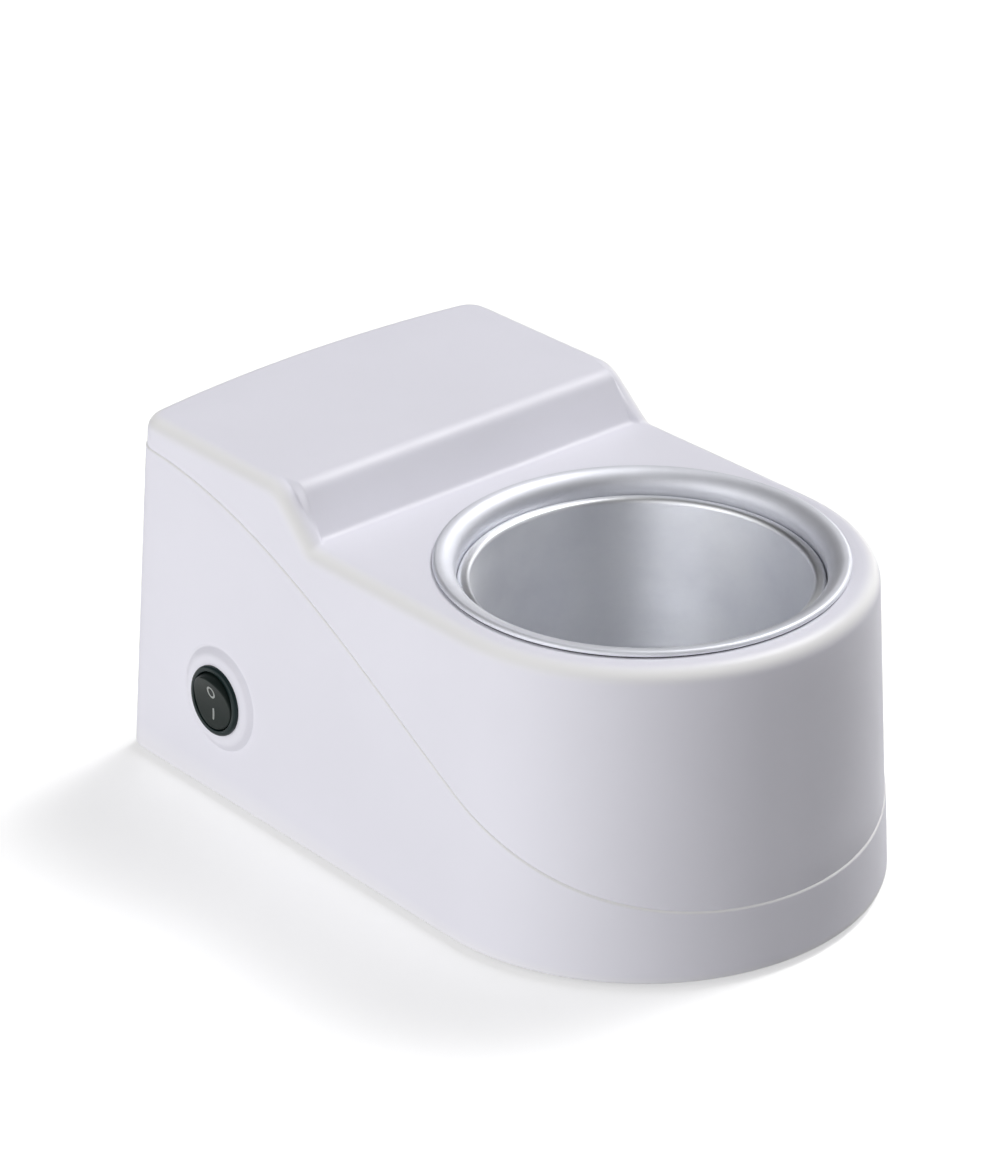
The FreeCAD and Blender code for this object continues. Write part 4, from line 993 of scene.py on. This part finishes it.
def screw_mesh(head, shank, reach, material):
    """Countersunk screw on its own axis, head up at zero, with a cross recess and turned thread rings."""
    head, shank, reach = head / MM, shank / MM, reach / MM
    flat, pitch, plain_end, tip = 0.25, 1.3, 2.0, 1.2
    root = 0.74 * shank
    depth = flat + head - shank
    corners = [(0.0, 0.0, 0), (head, 0.0, 0.12), (head, -flat, 0.05), (shank, -depth, 0)]
    while depth + pitch < reach - plain_end:
        corners += [(shank, -depth - 0.45 * pitch, 0), (root, -depth - 0.65 * pitch, 0),
                    (root, -depth - 0.8 * pitch, 0), (shank, -depth - pitch, 0)]
        depth += pitch
    corners += [(root, tip - reach, 0), (0.0, -reach, 0)]
    body = turned("screw", corners, material, 4, 48)
    arm, wide, deep, taper = 0.56 * head * MM, 0.15 * head * MM, 0.42 * head * MM, 0.55
    bars = [block((-x, -y, -deep), (x, y, MM), taper) for x, y in ((arm, wide), (wide, arm))]
    return tidied(cut(body, *bars))


# Operators

class WARMER_OT_housings(bpy.types.Operator):
    """Makes the upper and lower shells of the body"""

    bl_idname = "warmer.housings"
    bl_label = "Housings"

    def execute(self, context):
        s, w = warmer(context).housing, warmer(context).switch
        white = material_named("white_gloss", satin_moulding, tuple(s.colour))
        upper = upper_shell(s)
        upper.transform(DRUM)
        piece("upper_shell", upper, "warmer", "white_gloss", white, "upper_housing")
        axes = switch_axes(w, s)
        bore_radius, bore_half = 12.6, 6.0
        bore = rod("bore", bore_radius, -bore_half, bore_half, white, 96)
        bore.transform(axes)
        lower = lower_shell(s)
        lower.transform(DRUM)
        lower = tidied(cut(lower, bore, *self.inlet_cutters()), outward=False)
        pad = self.pad(w, white)
        pad.transform(axes)
        piece("lower_shell", gathered("lower_shell", [lower, pad]), "warmer", "white_gloss", white, "lower_housing")
        return {"FINISHED"}

    def inlet_cutters(self):
        """Blocks that cut a recess for the inlet's flange and a window for its socket."""
        low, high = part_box("mains_inlet")
        gap, flange, half_width, half_height = 0.5 * MM, 2.5 * MM, 13.7 * MM, 9.9 * MM
        outside = high.y + 20.0 * MM
        middle = (low.z + high.z) / 2
        recess = block((low.x - gap, high.y - flange, low.z - gap), (high.x + gap, outside, high.z + gap))
        window = block((-half_width, low.y, middle - half_height), (half_width, outside, middle + half_height))
        return recess, window

    def pad(self, w, white):
        """Raised pad with a soft slope, and the hole that the barrel goes through."""
        rise, radius = w.pad_rise / MM, w.pad_radius / MM
        hole, foot = w.barrel_radius / MM + 0.1, radius + 2.0
        corners = [(hole, -2.5, 0), (hole, rise, 0.25), (radius - 1.4, rise, 3.0), (radius + 0.8, 0.05, 1.0),
                   (foot, -0.12, 0), (foot, -0.9, 0), (12.0, -2.4, 0)]
        return turned("pad", corners, white, 10, 160, True, 50.0)


class WARMER_OT_well(bpy.types.Operator):
    """Makes the heating well with its rolled rim, and the gasket under the rim"""

    bl_idname = "warmer.well"
    bl_label = "Well and gasket"

    def execute(self, context):
        s, h = warmer(context).pot, warmer(context).housing
        gasket, side_gap, floor_gap, ledge_drop, bend_share = 0.4, 0.5, 0.3, 2.9, 0.45
        deck = h.deck_height / MM
        t = s.well_sheet / MM
        mouth = s.well_mouth / MM
        rim = mouth + s.rim_width / MM
        crest = deck + s.rim_rise / MM
        foot = deck + gasket
        inner = s.pot_radius / MM + s.pot_sheet / MM + side_gap
        floor = s.pot_floor / MM - s.pot_sheet / MM - floor_gap
        ledge = s.lip_top / MM - ledge_drop
        bend = bend_share * (mouth - inner - t)
        metal = material_named("spun_aluminium", turned_metal, tuple(s.rim_colour), (0.56, 0.66), 0.00003)
        cup = turned("heating_cup", [
            (0, floor, 0), (inner, floor, 6.0), (inner, ledge, bend + t), (mouth, ledge, bend),
            (mouth, crest, 5.0), (rim, crest, 1.15), (rim, foot, 0.2), (rim - t, foot, 0),
            (rim - t, crest - t, 0), (mouth + t, crest - t, 3.8), (mouth + t, ledge - t, bend + t),
            (inner + t, ledge - t, bend), (inner + t, floor - t, 7.2), (0, floor - t, 0)], metal, 14, s.segments)
        well = gathered("heating_cup", [cup] + self.studs(floor - t, metal))
        well.transform(DRUM)
        piece("heating_cup", well, "warmer", "spun_aluminium", metal, "heating_well")
        # Gasket ring under the rim. Its near-black is also painted contact shade: a dark line where the rim meets
        # the deck.
        rubber = material_named("gasket_rubber", soft_rubber, (0.035, 0.036, 0.04))
        hole, edge = h.deck_hole / MM, rim - 0.3
        ring = turned("gasket_ring", [(hole, deck, 0.1), (edge, deck, 0.1), (edge, foot, 0.15), (hole, foot, 0.1)],
                      rubber, 4, s.segments, True)
        ring.transform(DRUM)
        piece("gasket_ring", ring, "warmer", "gasket_rubber", rubber, "rim_gasket")
        return {"FINISHED"}

    def studs(self, under, metal):
        """Centre stud for the clamp and three small ones, let a little into the floor's underside."""
        let_in, low_end, small_end = 0.2, 6.9, -5.0
        stud = rod("stud", 2.5, low_end, under + let_in, metal, 32, 0.4)
        small = rod("small_stud", 1.5, small_end, let_in, metal, 24, 0.3)
        places = [(x * MM, y * MM, under * MM) for x, y in ((-22.0, 8.0), (-22.0, 32.0), (12.0, 29.5))]
        return [stud, set_out("small_studs", places, small, metal)]


class WARMER_OT_pot(bpy.types.Operator):
    """Makes the loose pot with its rolled lip"""

    bl_idname = "warmer.pot"
    bl_label = "Pot"

    def execute(self, context):
        s = warmer(context).pot
        lip_drop, lip_round, band = 2.6, 1.47, 1.8 * MM
        t = s.pot_sheet / MM
        inner = s.pot_radius / MM
        floor = s.pot_floor / MM
        top = s.lip_top / MM
        lip = inner + s.lip_width / MM
        low = top - lip_drop
        metal = material_named("pot_aluminium", turned_metal, tuple(s.pot_colour), (0.46, 0.56), 0.00004,
                               polish=(s.lip_top - band, 0.42), stretch=0.6)
        mesh = turned("loose_pot", [
            (0, floor, 0), (inner, floor, 5.0), (inner, top, lip_round), (lip, top, lip_round), (lip, low, 0.3),
            (lip - t, low, 0.3), (lip - t, top - t, 0.3), (inner + t, top - t, 0.3),
            (inner + t, floor - t, 6.0), (0, floor - t, 0)], metal, 12, s.segments)
        mesh.transform(DRUM)
        piece("loose_pot", mesh, "pot", "pot_aluminium", metal, "wax_pot")
        return {"FINISHED"}


class WARMER_OT_switch(bpy.types.Operator):
    """Makes the rocker switch: its body with the bezel, the rocker and the two marks"""

    bl_idname = "warmer.switch"
    bl_label = "Switch"

    def execute(self, context):
        s, h = warmer(context).switch, warmer(context).housing
        black = material_named("switch_black", matt_moulding, tuple(s.bezel_colour), grain=3000.0,
                               rough=(0.26, 0.36), depth=0.00004, level=0.22)
        body = gathered("switch_barrel", [self.barrel(s, black), self.latch(1.0), self.latch(-1.0)])
        body.transform(switch_axes(s, h))
        piece("switch_barrel", body, "warmer", "switch_black", black, "switch_body")
        dark = material_named("rocker_black", matt_moulding, tuple(s.rocker_colour), grain=3400.0,
                              rough=(0.34, 0.44), depth=0.00005, level=0.15)
        pins = [self.trunnion(turn, dark) for turn in (math.pi / 2, -math.pi / 2)]
        paddle = gathered("switch_paddle", [rocker_mesh(s)] + pins)
        axes = rocker_axes(s, h)
        paddle.transform(axes)
        piece("switch_paddle", paddle, "rocker", "rocker_black", dark, "switch_rocker")
        print_grey = material_named("mark_print", printed_mark, tuple(s.mark_colour))
        off = mark_mesh("off_mark", s, (1.75, 2.05, 1.0), (1.12, 1.42, 1.0), s.mark_offset)
        on = mark_mesh("on_mark", s, (0.36, 1.85, 0.35), (0.03, 1.5, 0.35), -s.mark_offset)
        marks = gathered("switch_marks", [off, on])
        marks.transform(axes)
        piece("switch_marks", marks, "rocker", "rocker_black", print_grey)
        return {"FINISHED"}

    def barrel(self, s, black):
        """Barrel with its bezel, and the bore that carries the rocker's pins."""
        back, inner_back, bore_radius, bore_half = -22.0, -20.0, 1.25, 9.7
        barrel = s.barrel_radius / MM
        cavity = barrel - s.barrel_wall / MM
        bezel = barrel + s.bezel_width / MM
        pad = s.pad_rise / MM
        face = pad + s.bezel_rise / MM
        body = turned("switch_barrel", [
            (0, back, 0), (barrel, back, 1.0), (barrel, pad, 0), (bezel, pad, 0), (bezel, face, 0.9),
            (cavity, face, 0.3), (cavity, inner_back, 1.0), (0, inner_back, 0)], black, 8, 144)
        bore = rod("bore", bore_radius, -bore_half, bore_half, black, 32)
        bore.transform(to_pivot(s) @ Matrix.Rotation(math.pi / 2, 4, "Y"))
        return tidied(cut(body, bore))

    def latch(self, side):
        """Wedge above or below the barrel, which holds it behind the cheek."""
        root, tip, shoulder, end, half_width = 9.55, 11.1, -2.6, -7.6, 2.5
        ramp = [(side * root, shoulder), (side * tip, shoulder), (side * root, end)]
        points = [(x * MM, y * MM, z * MM) for x in (-half_width, half_width) for y, z in ramp]
        return solid("latch", points, [(0, 2, 1), (3, 4, 5), (0, 1, 4, 3), (1, 2, 5, 4), (2, 0, 3, 5)])

    def trunnion(self, turn, dark):
        """Pin on one side of the rocker."""
        pin_radius, start, end = 1.2, 8.0, 9.5
        pin = rod("trunnion", pin_radius, start, end, dark, 32, high_ease=0.2)
        pin.transform(Matrix.Rotation(turn, 4, "Y"))
        return pin


class WARMER_OT_inlet(bpy.types.Operator):
    """Makes the mains inlet and its pins"""

    bl_idname = "warmer.inlet"
    bl_label = "Mains inlet"

    def execute(self, context):
        s = warmer(context).inlet
        black = material_named("inlet_black", matt_moulding, tuple(s.colour), grain=2400.0)
        piece("inlet_socket", eased_copy("mains_inlet", s.edge), "warmer", "inlet_black", black, "mains_inlet")
        brass = material_named("pin_brass", sheet_metal, (0.55, 0.50, 0.38), (0.22, 0.34))
        piece("inlet_blades", eased_copy("inlet_pins", s.pin_edge), "warmer", "pin_brass", brass, "inlet_pins")
        return {"FINISHED"}


class WARMER_OT_fasteners(bpy.types.Operator):
    """Sets out the base screws, the inlet screws and the rubber feet"""

    bl_idname = "warmer.fasteners"
    bl_label = "Screws and feet"

    def execute(self, context):
        s, h = warmer(context).fasteners, warmer(context).housing
        steel = material_named("bright_steel", sheet_metal, STEEL)
        screw = screw_mesh(s.screw_head, s.screw_shank, s.screw_length, steel)
        mesh = set_out("plate_screws", self.plate_places(h), screw, steel, (math.pi, 0.0, 0.0),
                       2 * math.pi, s.turn_seed)
        mesh.transform(DRUM)
        piece("plate_screws", mesh, "warmer", "bright_steel", steel, "base_screws")
        low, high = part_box("inlet_screws")
        z = (low.z + high.z) / 2
        across = 20.0 * MM
        screw = screw_mesh(s.inlet_head, s.inlet_shank, s.inlet_length, steel)
        mesh = set_out("socket_screws", [(-across, high.y, z), (across, high.y, z)], screw, steel,
                       (-math.pi / 2, 0.0, 0.0), 2 * math.pi, s.turn_seed)
        piece("socket_screws", mesh, "warmer", "bright_steel", steel, "inlet_screws")
        rubber = material_named("foot_rubber", soft_rubber, (0.012, 0.012, 0.013))
        mesh = set_out("feet", self.foot_places(h), self.foot(s, rubber), rubber)
        mesh.transform(DRUM)
        piece("feet", mesh, "warmer", "foot_rubber", rubber, "rubber_feet")
        return {"FINISHED"}

    def plate_places(self, h):
        """Heads of the base screws: four under the pillars and two under the skirt's front."""
        level, inset, front, before_rear = 1.5, 16.0, 48.0, 22.0
        boss_height, boss_inset, boss_side = 4.5, 7.75, 26.0
        side, rear = h.base_radius / MM - inset, h.console_reach / MM - before_rear
        boss_reach = h.base_radius / MM - boss_height * math.tan(h.side_draft) - boss_inset
        places = [(x, y) for x in (-side, side) for y in (front, rear)]
        places += [(x, -math.sqrt(boss_reach ** 2 - x * x)) for x in (-boss_side, boss_side)]
        return [Vector((x, y, level)) * MM for x, y in places]

    def foot(self, s, rubber):
        """Rubber foot with the plug that holds it in the plate."""
        ground, plate, top, plug = -2.0, 1.5, 4.5, 2.5
        radius = s.foot_radius / MM
        return turned("foot", [
            (0, ground, 0), (radius - 1.0, ground, 0.7), (radius, plate, 0.4), (plug, plate, 0.2), (plug, top, 0.3),
            (0, top, 0)], rubber, 6, 64)

    def foot_places(self, h):
        """Feet: two under the drum's front and two before the rear wall."""
        reach, turn = h.base_radius / MM - 18.2, math.radians(42.0)
        front = (reach * math.cos(turn), -reach * math.sin(turn))
        back = (h.base_radius / MM - 34.0, h.console_reach / MM - 28.0)
        return [(side * x * MM, y * MM, 0.0) for side in (-1, 1) for x, y in (front, back)]


# Finishes of the inner works, each with the CAD nodes that take it
INNER_FINISHES = (
    (("bright_steel", sheet_metal, STEEL), ("clamp_nut", "band_screw", "band_nut", "well_nuts", "inlet_nuts")),
    (("strap_steel", sheet_metal, (0.52, 0.53, 0.54), (0.3, 0.48)), ("clamp_yoke", "fuse_clip")),
    (("band_steel", sheet_metal, (0.40, 0.38, 0.36), (0.3, 0.5), (0.42, 0.30, 0.16)), ("heater_band",)),
    (("fuse_case", sheet_metal, (0.58, 0.55, 0.45), (0.28, 0.42)), ("thermal_fuse",)),
    (("terminal_brass", sheet_metal, (0.62, 0.46, 0.18), (0.24, 0.4)),
     ("earth_tag", "heater_terminals", "thermostat_terminals", "switch_terminals")),
    (("jacket_fibre", woven_fibre, (0.72, 0.68, 0.58)), ("insulation_jacket",)),
    (("thermostat_black", matt_moulding, (0.018, 0.013, 0.011)), ("thermostat",)),
    (("white_matt", matt_moulding, (0.66, 0.66, 0.68)), ("base_plate",)),
    (("wire_brown", wire_sleeve, (0.085, 0.028, 0.012)), ("wire_live", "wire_switched")),
    (("wire_white", wire_sleeve, (0.72, 0.70, 0.64)), ("wire_fuse", "wire_heater")),
    (("wire_blue", wire_sleeve, (0.012, 0.062, 0.34)), ("wire_neutral",)),
    (("wire_green", wire_sleeve, (0.03, 0.2, 0.02), (0.75, 0.55, 0.03)), ("wire_earth",)),
)


class WARMER_OT_inner_works(bpy.types.Operator):
    """Finishes the pieces under the housing, which keep their CAD shapes"""

    bl_idname = "warmer.inner_works"
    bl_label = "Inner works"

    def execute(self, context):
        for finish, nodes in INNER_FINISHES:
            material = material_named(*finish)
            for node in nodes:
                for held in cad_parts[node].material_slots:
                    held.material = material
        return {"FINISHED"}


class WARMER_OT_stage(bpy.types.Operator):
    """Sets the camera, the pale floor and the soft light"""

    bl_idname = "warmer.stage"
    bl_label = "Stage"

    def execute(self, context):
        s = warmer(context).stage
        broad, narrow = 3.0, 60.0
        scene = context.scene
        scene.camera = self.camera(s)
        floor = self.floor(s)
        scene.world = self.glow(((-1, 0, 0), s.left_glow, broad), ((1, -1, 1), s.front_glow, broad),
                                ((1, 1, -1), s.low_glow, broad), ((0.57, 0.01, 0.82), s.high_glow, narrow))
        self.softbox("right_light", s.right_power, 0.8, (1.6, 0.2, 0.35))
        scene.view_settings.view_transform = "Standard"
        return {"FINISHED"}

    def camera(self, s):
        """Camera that looks by yaw and pitch, and leans by the roll."""
        forward = Vector((math.sin(s.yaw) * math.cos(s.pitch), math.cos(s.yaw) * math.cos(s.pitch),
                          -math.sin(s.pitch)))
        right = Vector((math.cos(s.yaw), -math.sin(s.yaw), 0.0))
        up = right.cross(forward)
        across = right * math.cos(s.roll) + up * math.sin(s.roll)
        above = up * math.cos(s.roll) - right * math.sin(s.roll)
        lens = bpy.data.cameras.new("camera")
        lens.lens = s.lens
        lens.sensor_width = 36.0
        lens.clip_end = 20.0
        camera = placed("camera", lens)
        turn = Matrix((across, above, -forward)).transposed().to_4x4()
        camera.matrix_world = Matrix.Translation(s.camera_place) @ turn
        return camera

    def floor(self, s):
        """Pale floor just under the feet, which throws no diffuse light back on the warmer."""
        material, tree, surface = new_shader("floor", Roughness=0.9, Specular_IOR_Level=0.1,
                                             Emission_Color=(1.0, 1.0, 1.0, 1.0), Emission_Strength=s.floor_glow)
        cloud = noise(tree, object_place(tree), 2.0)
        tone = mixed(tree, cloud, shade(s.floor_colour, 0.99), shade(s.floor_colour, 1.0))
        join_up(tree, surface, Base_Color=tone)
        half, level = 6.0, -0.2 * MM
        corners = [(-half, -half, level), (half, -half, level), (half, half, level), (-half, half, level)]
        mesh = bpy.data.meshes.new("floor")
        mesh.from_pydata(corners, [], [(0, 1, 2, 3)])
        mesh.materials.append(material)
        floor = placed("floor", mesh)
        floor.visible_diffuse = False
        return floor

    def glow(self, *lobes):
        """Surroundings that shine softly from a few directions, as (direction, share, narrowness) rows."""
        world = bpy.data.worlds.new("studio")
        world.use_nodes = True
        tree = world.node_tree
        view = add(tree, "ShaderNodeTexCoord").outputs["Generated"]
        total = 0.0
        for direction, share, narrowness in lobes:
            toward = add(tree, "ShaderNodeVectorMath", {0: view, 1: Vector(direction).normalized()},
                         operation="DOT_PRODUCT")
            facing = add(tree, "ShaderNodeMath", {0: toward.outputs["Value"], 1: 0.0}, operation="MAXIMUM")
            soft = add(tree, "ShaderNodeMath", {0: facing.outputs["Value"], 1: narrowness}, operation="POWER")
            total = add(tree, "ShaderNodeMath", {0: soft.outputs["Value"], 1: share, 2: total},
                        operation="MULTIPLY_ADD").outputs["Value"]
        background = tree.nodes["Background"]
        tree.links.new(total, background.inputs["Strength"])
        background.inputs["Color"].default_value = (1.0, 1.0, 1.0, 1.0)
        return world

    def softbox(self, name, watts, size, place):
        """Square soft light that looks at the warmer."""
        light = bpy.data.lights.new(name, "AREA")
        light.shape = "SQUARE"
        light.size = size
        light.energy = watts
        lamp = placed(name, light)
        aim = (-Vector(place)).to_track_quat("-Z", "Y")
        lamp.matrix_world = Matrix.Translation(place) @ aim.to_matrix().to_4x4()


class WARMER_PT_sidebar(bpy.types.Panel):
    """Lists the warmer's pieces and their sizes"""

    bl_idname = "WARMER_PT_sidebar"
    bl_label = "Wax Warmer"
    bl_space_type = "VIEW_3D"
    bl_region_type = "UI"
    bl_category = "Warmer"

    def draw(self, context):
        settings = warmer(context)
        for operator, group in STEPS:
            box = self.layout.box()
            box.operator("warmer." + operator)
            if group:
                for key in getattr(settings, group).bl_rna.properties.keys():
                    if key not in ("rna_type", "name"):
                        box.prop(getattr(settings, group), key)


STEPS = [
    ("stage", "stage"), ("housings", "housing"), ("well", "pot"), ("pot", None), ("switch", "switch"),
    ("inlet", "inlet"), ("fasteners", "fasteners"), ("inner_works", None),
]

CLASSES = [
    HousingSettings, PotSettings, SwitchSettings, FastenerSettings, InletSettings, StageSettings, WarmerSettings,
    WARMER_OT_stage, WARMER_OT_housings, WARMER_OT_well, WARMER_OT_pot, WARMER_OT_switch, WARMER_OT_inlet,
    WARMER_OT_fasteners, WARMER_OT_inner_works, WARMER_PT_sidebar,
]


def register():
    """Adds the classes and the scene's settings."""
    for made in CLASSES:
        bpy.utils.register_class(made)
    bpy.types.Scene.wax_warmer = PointerProperty(type=WarmerSettings)


def unregister():
    """Takes the settings and the classes away."""
    del bpy.types.Scene.wax_warmer
    for made in reversed(CLASSES):
        bpy.utils.unregister_class(made)


def main():
    """Builds everything in order."""
    register()
    for operator, _ in STEPS:
        getattr(bpy.ops.warmer, operator)()


if __name__ == "__main__":
    main()
